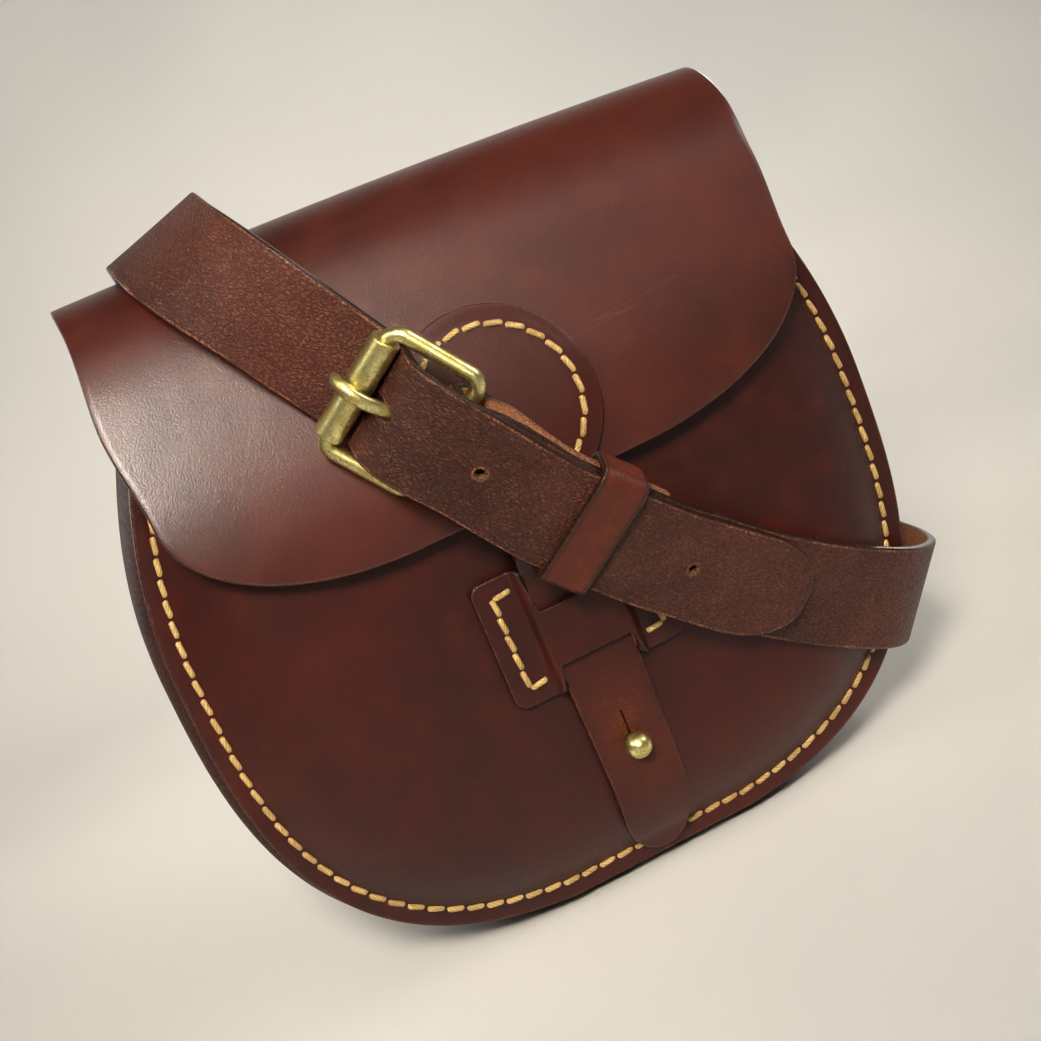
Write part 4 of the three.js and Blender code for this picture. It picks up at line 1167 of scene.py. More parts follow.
@dataclass
class Closure:
    """The closing tongue with its round head, the keeper that it passes under, and the stud that holds it."""

    shape: BagShape
    flap: BackAndFlap
    half: float = 12.5
    low_half: float = 11.2
    head_radius: float = 30.5
    head_z: float = 160.0
    head_cap: float = 0.08
    head_skive: float = 1.2
    skive_width: float = 6.0
    skive_start: tuple[float, float] = (128.0, 140.0)
    widening: tuple[float, float] = (20.0, 100.0)
    head_stitch_inset: float = 5.8
    drop: tuple[float, float] = (106.0, 133.0)
    tip_z: float = 8.5
    tip_taper: float = 17.0
    tip_half: float = 0.6
    stud_z: float = 49.0
    ball: float = 4.2
    ball_height: float = 8.16
    slit_top: float = 60.5
    slit_half: float = 0.75
    keyhole: float = 3.2
    keyhole_block: float = 3.0
    stain_share: float = 0.75
    stain_rise: float = 5.0
    stain_reach: tuple[float, float] = (9.0, 15.0)
    bare_ring: float = 5.0
    head_stitch_turn: float = 2.55
    bridged: float = 8.0
    front_gap: float = 0.25
    keeper_half: tuple[float, float] = (28.5, 20.5)
    keeper_z: float = 94.0
    keeper_wall: float = 2.5
    keeper_corner: float = 4.0
    keeper_ramp: float = 3.0
    keeper_waist: float = 1.5
    keeper_grid: tuple[int, int] = (105, 45)
    bridge_half: tuple[float, float] = (13.2, 8.8)
    bridge_z: float = 91.0
    keeper_stitch_inset: float = 5.5
    columns_a_side: int = 17

    def under_y(self, z: Array) -> Array:
        """Depth of the tongue's underside: on the front panel, a smooth step, then on the flap above.

        Over the hollow at the panel's seam it bridges: it takes the mean depth of a stretch round each height
        where that lies further out than the panel.

        Args:
            z: heights.

        Returns:
            The depth at each height.
        """
        s = self.shape
        stretch = np.linspace(-self.bridged, self.bridged, 9)
        rows = np.maximum(np.ravel(z)[:, None] + stretch, s.edge_z + 0.5)
        sides = (-self.half, 0.0, self.half)
        depths = np.minimum.reduce([s.front_y(np.full_like(rows, x), rows) for x in sides])
        outer = np.minimum(depths[:, len(stretch) // 2], depths.mean(1))
        on_front = outer.reshape(np.shape(z)) - s.gap - self.front_gap
        on_flap = self.flap.flap_y(np.maximum(z, self.flap.end_z)) - s.gap
        return on_front + (on_flap - on_front) * smoothstep(*self.drop, z)

    def half_at(self, z: Array) -> Array:
        """Half the tongue's width: a tapered tip, a strip that widens upwards, then the round head."""
        taper = np.clip((z - self.tip_z) / self.tip_taper, 0, 1)
        side = self.low_half + (self.half - self.low_half) * smoothstep(*self.widening, z)
        strip = self.tip_half + (side - self.tip_half) * np.sqrt(1 - (1 - taper) ** 2)
        head = np.sqrt(np.maximum(0, self.head_radius**2 - (z - self.head_z) ** 2))
        return np.where(z > self.head_z, head, np.maximum(head, strip))

    def wall_at(self, x: Array, z: Array) -> Array:
        """Thickness of the tongue, pared thinner towards the edge of its head."""
        inside = self.head_radius - np.hypot(x, z - self.head_z)
        pared = 1 - smoothstep(0, self.skive_width, np.maximum(inside, 0))
        return self.shape.leather - self.head_skive * pared * smoothstep(*self.skive_start, z)

    def face(self, x: Array, z: Array) -> tuple[Array, Array]:
        """The tongue's grain face and its outward normals: the underside moved out by the thickness."""
        step = 0.5
        slope = (self.under_y(z + step) - self.under_y(z - step)) / (2 * step)
        out = unit(np.stack([np.zeros_like(slope), -np.ones_like(slope), slope], -1))
        base = np.stack([x, self.under_y(z), z], -1)
        return base + out * self.wall_at(x, z)[..., None], out

    def tongue(self) -> None:
        """Makes the tongue as rows across it, with the keyhole for the stud cut out."""
        neck = math.asin(self.half / self.head_radius)
        tip = self.tip_z + self.tip_taper * (1 - np.cos(np.linspace(0, np.pi / 2, 15)[:-1]))
        neck_z = self.head_z - self.head_radius * math.cos(neck)
        strip = np.arange(math.ceil(self.tip_z + self.tip_taper), math.floor(neck_z))
        head = self.head_z - self.head_radius * np.cos(np.linspace(neck, np.pi - self.head_cap, 46))
        rows = np.concatenate([tip, strip, head])
        side = 0.05 + 0.95 * np.linspace(0, 1, self.columns_a_side)
        side = np.concatenate([-side[::-1], side])
        v, u = np.meshgrid(rows, side, indexing="ij")
        u = u * self.half_at(v)
        ring = side[self.columns_a_side + 4] * float(self.half_at(np.array(self.stud_z)))
        hole = Hole(0.0, self.stud_z, (ring, self.keyhole_block), (self.keyhole, self.keyhole))
        middle = (self.stud_z + self.keyhole_block + self.slit_top) / 2
        size = (self.slit_half, self.slit_top - middle)
        slit = Hole(0.0, middle, size, size)
        faces = open_faces(grid_faces(*u.shape), u, v, [hole, slit])
        x, z = hole.warp(u, v)
        points, _ = self.face(x, z)
        above = z - self.stud_z
        reach = np.hypot(x / self.stain_reach[0], (above - self.stain_rise) / self.stain_reach[1])
        stain = self.stain_share * np.exp(-(reach**2))
        raw = np.maximum(stain, np.exp(-((np.hypot(x, above) / self.bare_ring) ** 4))).ravel()
        skin, used = Skin.of_used(points.reshape(-1, 3), faces, over_grid(x, z), FORWARD)
        wall = self.wall_at(x, z).ravel()[used]
        body = skin.leather(wall, bulge=0.4, marks={"raw": raw[used]})
        # The tongue takes the darker copy of the flap's leather, which is painted shade.
        dress(body, "tongue", TONGUE_PAINTED_SHADE_BROWN, ("closing_tongue",))
        turn = np.linspace(-self.head_stitch_turn, self.head_stitch_turn, 200)
        circle = self.head_radius - self.head_stitch_inset
        line, up = self.face(circle * np.sin(turn), self.head_z + circle * np.cos(turn))
        dress(Seam().body(line, up), "tongue_stitches", OCHRE_THREAD)

    def keeper(self) -> None:
        """Makes the keeper: two wings on the panel and a narrower bridge that arches over the tongue.

        At a place x across, the bridge stands 1 - smoothstep of its ramp above the wings, and half the
        height goes from the bridge's to the wing's, less the round of the wing's corners.
        """
        s = self.shape
        base = float(s.front_y(np.array([0.0]), np.array([self.keeper_z]))[0]) - s.gap
        far, t = (np.linspace(-1, 1, count) for count in self.keeper_grid)
        far = far[:, None] * self.keeper_half[0]
        inward = self.keeper_half[0] - np.abs(far)
        rise = smoothstep(self.bridge_half[0], self.bridge_half[0] + self.keeper_ramp, np.abs(far))
        corner = self.keeper_corner
        round_ = corner - np.sqrt(corner**2 - (corner - np.minimum(inward + 0.2, corner)) ** 2)
        low, high = (self.bridge_half[0] + d * self.keeper_waist for d in (-1, 1))
        waist = smoothstep(low, high, np.abs(far))
        half = self.bridge_half[1] + (self.keeper_half[1] - round_ - self.bridge_half[1]) * waist
        middle = self.bridge_z + (self.keeper_z - self.bridge_z) * waist
        y = base - self.keeper_wall - (s.leather + 2 * s.gap) * (1 - rise)
        x, z = np.broadcast_to(far, self.keeper_grid), middle + t * half
        points = np.stack([x, np.broadcast_to(y, x.shape), z], -1).reshape(-1, 3)
        skin = Skin(points, grid_faces(*x.shape), points[:, [0, 2]], FORWARD)
        body = skin.leather(self.keeper_wall, bulge=0.4)
        # The keeper takes the same darker copy of the flap's leather, which is painted shade.
        dress(body, "keeper", PAINTED_SHADE_FRONT_BROWN, ("tongue_keeper",))
        out_x = self.keeper_half[0] - self.keeper_stitch_inset
        in_x = out_x - Seam.pitch
        low, high = (self.keeper_z + d * (self.keeper_half[1] - self.keeper_stitch_inset) for d in (-1, 1))
        level = base - self.keeper_wall
        runs = [((in_x, high), (out_x, high)), ((out_x, high), (out_x, low)), ((out_x, low), (in_x, low))]
        rows = []
        for mirror in (-1, 1):
            for start, end in runs:
                line = np.linspace([mirror * start[0], level, start[1]], [mirror * end[0], level, end[1]], 20)
                rows.append(Seam().body(line, np.tile(FORWARD, (len(line), 1))))
        dress(joined(rows), "keeper_stitches", OCHRE_THREAD)

    def stud(self) -> None:
        """Makes the stud: a screw head inside the panel, a neck and a ball, turned round its axis."""
        s = self.shape
        depth = float(s.front_y(np.array([0.0]), np.array([self.stud_z]))[0])
        turn = np.linspace(-0.93, 1.56, 18)
        ball = self.ball * np.stack([np.cos(turn), np.sin(turn)], -1) + [0.0, self.ball_height]
        screw = [[0.05, -4.7], [4.2, -4.7], [4.6, -4.4], [4.6, -3.3]]
        neck = [[2.1, -3.3], [2.1, 0.3], [2.7, 0.4], [2.6, 1.0], [2.6, 4.5]]
        profile = np.concatenate([screw, neck, ball])
        body = lathe(profile, LATHE_SIDES, np.array([0.0, depth, self.stud_z]), FORWARD, SIDEWAYS)
        dress(body, "stud", AGED_BRASS, ("closing_stud",))

    def build(self) -> None:
        """Makes the tongue, keeper and stud."""
        self.tongue()
        self.keeper()
        self.stud()


# Rows of the strap's middle line: x, y, z, then the direction across the strap.
ROUTE = np.array([
    [-61, 28.8, 192, 1, 0, 0], [-61, 28.8, 150, 1, 0, 0], [-61, 29, 95, 1, 0, 0], [-61, 29.6, 50, 1, 0, 0],
    [-61, 32.6, 31, 1, 0, 0], [-61, 40, 23.5, 1, 0, 0], [-61, 47.6, 30, 1, 0, 0], [-61, 50.5, 48, 1, 0, 0],
    [-61, 49.5, 95, 1, 0, 0], [-61, 45.5, 152, 1, 0, 0], [-61, 40, 204, 0.99, 0, 0.06],
    [-63.5, 28, 232, 0.98, 0, 0.2], [-66, 4, 243.2, 0.95, 0, 0.3], [-64.1, -27.4, 235.9, 0.88, -0.19, 0.43],
    [-54.4, -44.3, 219.4, 0.78, -0.31, 0.54], [-33.7, -52.2, 185.7, 0.72, -0.4, 0.57],
    [-17.9, -60.7, 163.1, 0.7, -0.43, 0.58], [-1.5, -62.7, 136.2, 0.68, -0.42, 0.61],
    [13.8, -61.6, 119, 0.64, -0.38, 0.67], [29.4, -58.5, 102.2, 0.63, -0.35, 0.69],
    [49.9, -54.1, 82.7, 0.59, -0.29, 0.75], [75.5, -47.8, 63.5, 0.56, -0.24, 0.79],
    [98.4, -38.2, 49.1, 0.55, -0.16, 0.82], [113.2, -20, 41.2, 0.61, 0, 0.79], [118.7, 0, 39, 0.61, 0, 0.79],
    [114.5, 22.5, 43.5, 0.63, 0, 0.78], [101, 35.5, 59, 0.71, 0, 0.7], [85, 33, 90, 0.85, 0, 0.53],
    [67, 28.9, 135, 0.93, 0, 0.36], [57, 28.8, 168, 0.96, 0, 0.28], [51, 28.8, 190, 0.96, 0, 0.28],
], float)
ROLLER_ROW = 15


def smooth_line(rows: Array, each: int = 100) -> Array:
    """A smooth curve through rows of points, with steps between them by the root of their distance.

    Args:
        rows: the points.
        each: how many steps from one point to the next.

    Returns:
        Points along the curve, the last row's own point at the end.
    """
    padded = np.concatenate([[2 * rows[0] - rows[1]], rows, [2 * rows[-1] - rows[-2]]])
    p0, p1, p2, p3 = (padded[i: len(padded) - 3 + i, None] for i in range(4))
    root = np.sqrt(np.linalg.norm(np.diff(padded, axis=0), axis=1))
    d0, d1, d2 = (root[i: len(root) - 2 + i, None, None] for i in range(3))
    d1 = np.where(d1 < 1e-4, 1.0, d1)
    d0, d2 = np.where(d0 < 1e-4, d1, d0), np.where(d2 < 1e-4, d1, d2)
    a = d1 * ((p1 - p0) / d0 - (p2 - p0) / (d0 + d1) + (p2 - p1) / d1)
    b = d1 * ((p2 - p1) / d1 - (p3 - p1) / (d1 + d2) + (p3 - p2) / d2)
    t = np.linspace(0, 1, each, endpoint=False)[None, :, None]
    curve = p1 + a * t + (3 * (p2 - p1) - 2 * a - b) * t**2 + (2 * (p1 - p2) + a + b) * t**3
    return np.concatenate([curve.reshape(-1, rows.shape[1]), rows[-1:]])


class StrapRoute:
    """The strap's middle line, with directions along, across and out of the strap at every place."""

    def __init__(self, each: int = 100) -> None:
        """Works out the line, measured in distance past the buckle's roller."""
        self.middle = smooth_line(ROUTE[:, :3], each)
        across = smooth_line(ROUTE[:, 3:], each)
        length = run_lengths(self.middle)
        self.past = length - length[ROLLER_ROW * each]
        self.along = unit(np.gradient(self.middle, axis=0))
        self.across = unit(across - (across * self.along).sum(-1, keepdims=True) * self.along)
        self.out = np.cross(self.along, self.across)

    def pick(self, rows: Array, past: Array) -> Array:
        """Values of some rows at given distances past the roller."""
        return read_rows(past, self.past, rows)

    def point(self, past: Array, across: Array, lift: Array) -> Array:
        """Points by distance past the roller, distance across the strap and lift above its middle line."""
        past, across, lift = np.broadcast_arrays(*(np.asarray(v, float) for v in (past, across, lift)))
        base = self.pick(self.middle, past)
        sideways = across[..., None] * self.pick(self.across, past)
        return base + sideways + lift[..., None] * self.pick(self.out, past)


class Band:
    """A strip of strap along its own middle line, with its thickness square to that line."""

    def __init__(self, route: StrapRoute, past: Array, lift: Array) -> None:
        """Works out the strip's line and directions from places past the roller and lifts."""
        self.middle = route.point(past, 0, lift)
        self.across = route.pick(route.across, past)
        self.out = unit(np.cross(np.gradient(self.middle, axis=0), self.across))
        self.length = run_lengths(self.middle)

    def at(self, where: Array, place: Array, across: Array, lift: float) -> tuple[Array, Array]:
        """Points on the strip and the way out of it.

        Args:
            where: the measure along the strip at each of its own points.
            place: the measures that are wanted.
            across: distances across.
            lift: distance above the middle line.

        Returns:
            The points and the outward directions there.
        """
        lines = (self.middle, self.across, self.out)
        middle, sideways, out = (read_rows(place, where, rows) for rows in lines)
        out = unit(out)
        return middle + across[..., None] * sideways + lift * out, out


def rounded_box(half: float, low: float, high: float, radius: float, count: int) -> Array:
    """A closed line round a rectangle with round corners, at equal steps, without its first point again.

    Args:
        half: half the width.
        low: the lower side.
        high: the upper side.
        radius: radius of the corners.
        count: how many points.

    Returns:
        Rows of place across and height.
    """
    turn = np.linspace(0, np.pi / 2, 13)
    corners = []
    for quarter, (x, y) in enumerate([(half, high), (-half, high), (-half, low), (half, low)]):
        centre = [x - math.copysign(radius, x), high - radius if y == high else low + radius]
        angle = turn + quarter * np.pi / 2
        corners.append(centre + radius * np.stack([np.cos(angle), np.sin(angle)], -1))
    line = np.concatenate(corners)
    return spaced(np.concatenate([line, line[:1]]), count + 1)[:-1]


@dataclass
class Strap:
    """The two straps, the loop that holds the tail down, and the rivets on the back."""

    route: StrapRoute
    shape: BagShape
    half: float = 16.5
    columns: int = 33
    holes: tuple[float, ...] = (40.0, 76.0, 112.0)
    hole_radius: float = 2.05
    hole_raw: float = 0.55
    prong_hole: float = 10.0
    prong_hole_half: tuple[float, float] = (2.6, 4.7)
    tail_end: float = 154.0
    tail_taper: float = 24.0
    tail_tip: float = 1.5
    bar: float = 28.0
    bar_lift: float = 4.56
    turned_end: float = 94.0
    turned_shift: float = 0.1
    over: float = 3.3
    loop_at: float = 76.5
    loop_half: float = 7.5
    loop_wall: float = 2.4
    loop_inside: float = 18.0
    loop_spare: float = 0.6
    loop_corner: float = 4.6
    settling: tuple[float, float] = (95.0, 121.0)
    closing: float = 26.0
    fold_cut: float = 1.6
    fold_reach: tuple[float, float] = (7.0, 19.0)
    slot_half: tuple[float, float] = (3.1, 14.0)
    loose_from: float = 9.0
    loose_to: float = 3.0
    grain_start: float = 1300.0
    rivet_from_end: float = 12.0
    rivet_end: tuple[float, float, float] = (10.0, 6.0, 2.5)
    tail_past: tuple[float, ...] = (0, 3, 6, 10, 14, 18, 23, 29, 40, 55, 66, 98, 120, 156)
    tail_lift: tuple[float, ...] = (0, 0.3, 2.8, 8.5, 12, 13.4, 13.6, 12.9, 9.9, 7.1, 6.6, 6.6, 4.4, 4)

    def lift_at(self, past: Array) -> Array:
        """How far the tail stands above the middle line at distances past the roller."""
        curve = through(np.array(self.tail_past, float), np.array(self.tail_lift, float), np.maximum(past, 0))
        return np.where(past <= 0, 0, curve)

    def piece(self, band: Band, where: Array, rows: Array, half: Array, holes: list[Hole], shift: Array,
              raw: Array, grain_start: float) -> Body:
        """A strap as rows across its band, with its holes.

        Args:
            band: the strip that it follows.
            where: the measure along the strip at each of its points.
            rows: the measures of the rows.
            half: half the strap's width at each row.
            holes: holes punched in it.
            shift: sideways move of each row.
            raw: how bare the cut edge of each row is.
            grain_start: where the grain's pattern starts.

        Returns:
            The strap's body.
        """
        side = np.linspace(-1, 1, self.columns)
        v, u = np.meshgrid(rows, side, indexing="ij")
        u = u * half[:, None]
        faces = open_faces(grid_faces(*u.shape), u, v, holes)
        bare = np.broadcast_to(raw[:, None], u.shape)
        x, y = u, v
        for hole in holes:
            x, y = hole.warp(x, y)
        for hole in holes:
            bare = np.maximum(bare, hole.rawness(x, y))
        moved = np.interp(y, rows, shift)
        points, out = band.at(where, y, x + moved, self.shape.leather / 2)
        uv = over_grid(x, y + grain_start)
        skin, used = Skin.of_used(points.reshape(-1, 3), faces, uv, out.reshape(-1, 3))
        return skin.leather(self.shape.leather, bulge=0.7, marks={"raw": bare.ravel()[used]})

    def rounded(self, rows: Array, end: float, taper: float, tip: float, power: float) -> Array:
        """Half the width near a rounded end: an oval of that power over the taper."""
        share = np.clip(1 - np.abs(end - rows) / taper, 0, 1)
        return tip + (self.half - tip) * (1 - share**power) ** (1 / power)

    def long_strap(self) -> None:
        """Makes the strap that comes over the top, under the roller and through the loop to its tail."""
        start = self.route.past[0]
        past = np.arange(start, self.tail_end + 0.5, 0.5)
        band = Band(self.route, past, self.lift_at(past))
        body_rows = np.arange(math.ceil(start) + 1, self.tail_end - self.tail_taper + 1)
        tip = self.tail_end - self.tail_taper * (1 - np.sin(np.linspace(0, np.pi / 2, 22)))[1:]
        rows = np.concatenate([[start], body_rows, tip])
        half = np.minimum(self.rounded(rows, self.tail_end, self.tail_taper, self.tail_tip, 2.2),
                          self.rounded(rows, start, *self.rivet_end))
        cell = 2 * self.half / (self.columns - 1)
        radius = (self.hole_radius, self.hole_radius)
        holes = [Hole(0.0, at, (2 * cell, 2.0), radius, raw=self.hole_raw) for at in self.holes]
        holes.append(Hole(0.0, self.prong_hole, (3 * cell, 5.0), self.prong_hole_half))
        zero = np.zeros(len(rows))
        body = self.piece(band, past, rows, half, holes, zero, zero, 0.0)
        dress(body, "long_strap_leather", GRAINED_BROWN, ("long_strap",))

    def short_strap(self) -> None:
        """Makes the strap that is turned round the buckle's bar, with its turned end against the bag.

        The turned end lies on the middle line, goes half round the bar and comes back above it. It then
        settles on the turned end and, past that, sinks to the middle line again.
        """
        far = self.route.past[-1]
        turned = np.arange(self.turned_end, self.bar, -0.5)
        turn = np.linspace(0, np.pi, 30)[:-1]
        main = np.arange(self.bar, far, 0.5)
        rest = self.over * (1 - smoothstep(*self.settling, main))
        high = (2 * self.bar_lift - self.over) * (1 - smoothstep(self.bar, self.bar + self.closing, main))
        past = np.concatenate([turned, self.bar - self.bar_lift * np.sin(turn), main])
        lift = np.concatenate([0 * turned, self.bar_lift * (1 - np.cos(turn)), rest + high])
        band = Band(self.route, past, lift)
        where = band.length
        inner = np.arange(2.0, math.floor(where[-1]) - 8)
        last = where[-1] - 8 * (1 - np.sin(np.linspace(0, np.pi / 2, 10)[1:]))
        rows = np.concatenate([[0, 0.7, 1.4], inner, last])
        fold = where[len(turned)]
        bend = fold + math.pi * self.bar_lift / 2
        narrowed = self.fold_cut * (1 - smoothstep(*self.fold_reach, np.abs(rows - bend)))
        half = self.rounded(rows, where[-1], *self.rivet_end) - narrowed
        cell = 2 * self.half / (self.columns - 1)
        slot = Hole(0.0, round(bend), (3 * cell, self.slot_half[1]), self.slot_half, reach=1.6)
        loose = 1 - smoothstep(fold - self.loose_from, fold - self.loose_to, rows)
        shift = self.turned_shift * loose
        body = self.piece(band, where, rows, half, [slot], shift, loose, self.grain_start)
        dress(body, "short_strap_leather", GRAINED_BROWN, ("short_strap",))

    def loop(self) -> None:
        """Makes the loop: a flat ring round the stacked straps, as a rounded box carried along the strap."""
        at, wall, bulge = np.array(self.loop_at), self.loop_wall, 0.5
        margin = self.shape.leather / 2 + self.loop_spare + wall
        low, high = -margin, float(self.lift_at(at)) + margin
        ring = rounded_box(self.loop_inside + wall, low, high, self.loop_corner, 140)
        width = np.linspace(-1, 1, 19) * (self.loop_half - bulge)
        lines = (self.route.middle, self.route.along, self.route.across, self.route.out)
        origin, along, across, out = (self.route.pick(rows, at) for rows in lines)
        edge = ring[:, :1] * across + ring[:, 1:] * out
        points = origin + edge[:, None] + width[:, None] * along
        centre = origin + (low + high) / 2 * out
        uv = over_grid(width, np.linspace(0, run_lengths(ring)[-1], len(ring))[:, None])
        flat = points.reshape(-1, 3)
        skin = Skin(flat, grid_faces(len(ring), len(width), wrap_rows=True), uv, flat - centre)
        dress(skin.leather(wall, bulge=bulge), "loop", TAN_BROWN, ("strap_loop",))

    def rivets(self) -> None:
        """Makes the two domed rivets that hold the strap's ends to the back."""
        turn = np.linspace(0.05, np.pi / 2 - 0.02, 10)
        dome = np.stack([5.2 * np.cos(turn), 3.9 + 2 * np.sin(turn)], -1)
        burr = [[0.05, -4.3], [5.0, -4.3], [5.2, -4.1], [5.2, -3.4], [5.0, -3.3]]
        shank = [[2.2, -3.3], [2.2, 3.6], [5.0, 3.6]]
        profile = np.concatenate([burr, shank, dome])
        first, last = self.route.past[[0, -1]]
        ends = {"left": first + self.rivet_from_end, "right": last - self.rivet_from_end}
        for name, past in ends.items():
            origin = self.route.point(past, 0, 0)
            origin[1] = self.shape.half_depth + self.shape.leather
            body = lathe(profile, LATHE_SIDES, origin, BACKWARD, SIDEWAYS)
            dress(body, f"rivet_{name}", AGED_BRASS, (f"strap_rivet_{name}",))

    def build(self) -> None:
        """Makes the straps, loop and rivets."""
        self.long_strap()
        self.short_strap()
        self.loop()
        self.rivets()


@dataclass
class Buckle:
    """The roller buckle: a wire frame, the roller on its front bar and the prong on its heel bar."""

    route: StrapRoute
    wire: float = 2.4
    length: float = 28.0
    half: float = 20.5
    corner: float = 4.0
    roller: float = 4.5
    roller_half: float = 16.9
    bore: float = 2.7
    bar_lift: float = 4.56
    roller_lift: float = 6.75
    hook: float = 3.6
    hook_radius: float = 0.9
    prong_oval: tuple[float, float] = (1.12, 0.92)
    prong_past: tuple[float, ...] = (22, 15.5, 10, 5, 0, -4.5, -7.4, -8.3)
    prong_lift: tuple[float, ...] = (7.9, 8.5, 10.2, 12.4, 13.2, 12.2, 9.9, 8.9)
    prong_radius: tuple[float, ...] = (1.7, 1.9, 1.95, 2.0, 2.0, 1.95, 1.6, 0.9)

    def frame(self) -> None:
        """Makes the wire frame: a round bar along a rectangle with round corners, sloping to the heel bar."""
        flat = rounded_box(self.half, 0.0, self.length, self.corner, 180)
        share = (flat[:, 1] / self.length)[:, None]
        front = self.route.point(0, flat[:, 0], self.roller_lift)
        heel = self.route.point(self.length, flat[:, 0], self.bar_lift)
        line = front * (1 - share) + heel * share
        out = np.broadcast_to(self.route.pick(self.route.out, np.array(self.length / 2)), line.shape)
        radius = np.full(len(line), self.wire)
        body = tube(line, radius, radius, out, 20, ring=True)
        dress(body, "buckle_wire", AGED_BRASS, ("buckle_frame",))

    def make_roller(self) -> None:
        """Makes the roller: a short tube with softened ends, turned round the front bar."""
        end, soft = self.roller_half, 0.45
        turn = np.linspace(0, np.pi / 2, 5)
        lip = np.stack([self.roller - soft + soft * np.sin(turn), -end + soft - soft * np.cos(turn)], -1)
        span = np.linspace(-end + 1, end - 1, 9)
        skin = np.stack([np.full_like(span, self.roller), span], -1)
        bore = [[self.bore, end], [self.bore, 0.0], [self.bore, -end], [self.bore + 0.2, -end]]
        profile = np.concatenate([lip, skin, lip[::-1] * [1, -1], [[self.bore + 0.2, end]], bore])
        axis = unit(self.route.pick(self.route.across, np.array(0.0)))
        side = unit(self.route.pick(self.route.out, np.array(0.0)))
        body = lathe(profile, 40, self.route.point(0, 0, self.roller_lift), axis, side, ring=True)
        dress(body, "roller", AGED_BRASS, ("buckle_roller",))

    def prong(self) -> None:
        """Makes the prong: a hook round the heel bar, then an oval bar over the roller to a flattened tip."""
        angle = np.linspace(-2.4, 1.7, 8)
        past = np.concatenate([self.length + self.hook * np.cos(angle), self.prong_past])
        lift = np.concatenate([self.bar_lift + self.hook * np.sin(angle), self.prong_lift])
        radius = np.concatenate([np.full(len(angle), self.hook_radius), self.prong_radius])
        line = smooth_line(self.route.point(past, 0, lift), 6)
        size = np.interp(np.linspace(0, 1, len(line)), np.linspace(0, 1, len(radius)), radius)
        across = np.broadcast_to(self.route.pick(self.route.across, np.array(5.0)), line.shape)
        body = tube(line, self.prong_oval[0] * size, self.prong_oval[1] * size, across, 16)
        dress(body, "prong", AGED_BRASS, ("buckle_prong",))

    def build(self) -> None:
        """Makes the frame, roller and prong."""
        self.frame()
        self.make_roller()
        self.prong()


@dataclass(frozen=True)
class Viewpoint:
    """The camera that the bag is seen from: a direction, a roll, a distance and a focal length."""

    azimuth: float = -11.04
    elevation: float = 14.44
    roll: float = 22.78
    distance: float = 580.0
    focal_px: float = 1914.0
    image_px: float = 1041.0
    target: tuple[float, float, float] = (-3.1, -30.0, 123.5)
    sensor: float = 36.0

    def build(self) -> None:
        """Makes the camera and sets it as the scene's."""
        az, el, roll = (math.radians(v) for v in (self.azimuth, self.elevation, self.roll))
        back = np.array([math.sin(az) * math.cos(el), -math.cos(az) * math.cos(el), math.sin(el)])
        right = np.array([math.cos(az), math.sin(az), 0.0])
        up = np.cross(back, right)
        side = math.cos(roll) * right - math.sin(roll) * up
        top = math.sin(roll) * right + math.cos(roll) * up
        data = bpy.data.cameras.new("camera")
        data.sensor_width = self.sensor
        data.lens = self.focal_px / self.image_px * self.sensor
        data.clip_start, data.clip_end = 0.01, 20.0
        camera = bpy.data.objects.new("camera", data)
        turn = Matrix([Vector(side), Vector(top), Vector(back)]).transposed().to_4x4()
        place = (np.array(self.target) + self.distance * back) * METRES
        camera.matrix_world = Matrix.Translation(Vector(place)) @ turn
        bpy.context.scene.collection.objects.link(camera)
        bpy.context.scene.camera = camera


@dataclass(frozen=True)
class Lamp:
    """A soft square light: its place, what it points at, its size, its power and its beam's angle."""

    name: str
    place: tuple[float, float, float]
    target: tuple[float, float, float]
    size: float
    power: float
    beam: float = 180.0
    colour: tuple[float, float, float] = (1.0, 0.98, 0.95)

    def build(self) -> None:
        """Makes the light, turned towards its target."""
        data = bpy.data.lights.new(self.name, "AREA")
        data.shape, data.size, data.energy, data.color = "SQUARE", self.size, self.power, self.colour
        data.spread = math.radians(self.beam)
        lamp = bpy.data.objects.new(self.name, data)
        lamp.location = self.place
        lamp.rotation_mode = "QUATERNION"
        lamp.rotation_quaternion = (Vector(self.target) - Vector(self.place)).to_track_quat("-Z", "Y")
        bpy.context.scene.collection.objects.link(lamp)


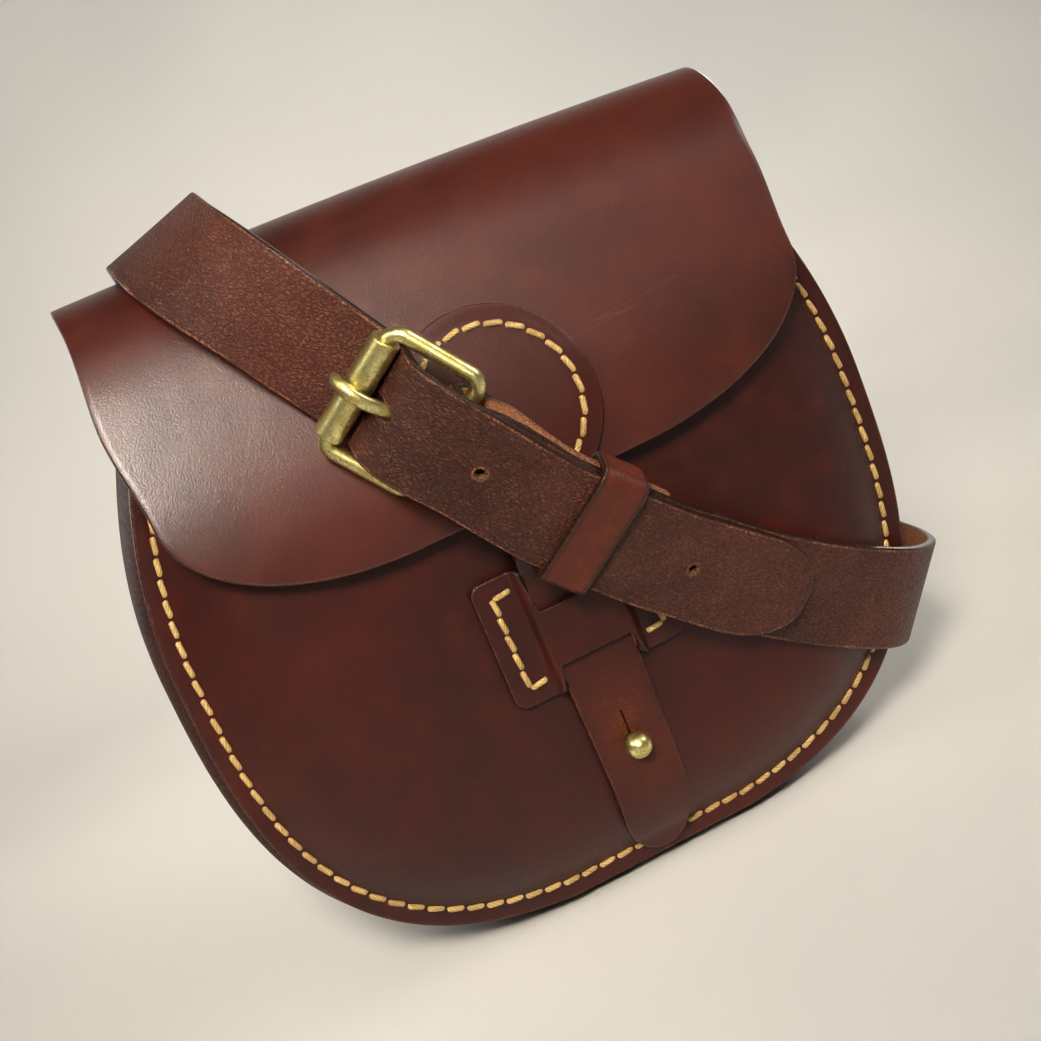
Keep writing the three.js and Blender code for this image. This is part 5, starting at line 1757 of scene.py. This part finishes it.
@dataclass(frozen=True)
class Studio:
    """A pale sweep under and behind the bag, soft lamps and a dim even sky."""

    half: float = 1500.0
    front: float = -1600.0
    bend_y: float = 420.0
    bend: float = 500.0
    top: float = 1500.0
    sky: float = 0.05

    def sweep(self) -> None:
        """Makes the backdrop: a level floor that turns up through a quarter circle into a wall."""
        turn = np.linspace(0, np.pi / 2, 24)
        y = np.concatenate([[self.front], self.bend_y + self.bend * np.sin(turn), [self.bend_y + self.bend]])
        z = np.concatenate([[0.0], self.bend * (1 - np.cos(turn)), [self.top]])
        x = np.linspace(-self.half, self.half, 5)
        grid = np.stack(np.broadcast_arrays(x, y[:, None], z[:, None]), -1).reshape(-1, 3)
        g = Graph("pale_sweep")
        at = g.place(Coordinates.OBJECT)
        shade = g.mix(g.ramp(g.noise(at, 3, 2), 0.3, 0.7), rgb(226, 222, 214), rgb(214, 211, 205))
        weave = g.bump(g.noise(at, 1400, 2), 0.0001)
        g.set(g.shader, {"Base Color": shade, "Roughness": 0.9, "Normal": weave})
        floor = Body(grid, grid_faces(len(y), len(x)), grid[:, :2]).mesh_object("sweep", g.material)

    def build(self) -> None:
        """Makes the backdrop, the lamps and the sky."""
        self.sweep()
        lamps = [
            Lamp("key", (-0.3, -1.0, 0.85), (-0.06, -0.03, 0.2), 0.3, 1.2, 38.0, WARM),
            Lamp("high", (0.15, -0.9, 1.3), (0.0, 0.0, 0.12), 0.5, 0.15, 50.0, WARM),
            Lamp("left", (-1.2, -0.45, 1.15), (0, 0.15, 0.05), 0.6, 7.0),
            Lamp("right", (1.2, -0.45, 1.0), (0, 0.15, 0.05), 0.6, 9.0),
            Lamp("wall", (0.2, 0.3, 1.3), (0.2, 0.85, 0.2), 0.6, 1.1, 70.0),
            Lamp("back_left", (-0.7, 0.9, 0.25), (0, 0.05, 0.12), 0.5, 0.7, 50.0),
            Lamp("back_right", (0.7, 0.9, 0.25), (0, 0.05, 0.12), 0.5, 0.7, 50.0),
        ]
        for lamp in lamps:
            lamp.build()
        bpy.context.scene.view_settings.view_transform = "Standard"
        world = bpy.data.worlds.new("even_sky")
        world.use_nodes = True
        background = world.node_tree.nodes["Background"]
        background.inputs["Color"].default_value = (1.0, 0.985, 0.96, 1.0)
        background.inputs["Strength"].default_value = self.sky
        bpy.context.scene.world = world


def write_sizes() -> None:
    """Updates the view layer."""
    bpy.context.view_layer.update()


def main() -> None:
    """Builds the camera and studio, then the bag's sub-assemblies in order."""
    logging.basicConfig(level=logging.INFO, format="%(name)s: %(message)s")
    Viewpoint().build()
    Studio().build()
    shape = BagShape()
    flap = BackAndFlap(shape)
    route = StrapRoute()
    panels = (flap, FrontPanel(shape), Gusset(shape))
    for assembly in (*panels, Closure(shape, flap), Strap(route, shape), Buckle(route)):
        assembly.build()
    write_sizes()


if __name__ == "__main__":
    main()
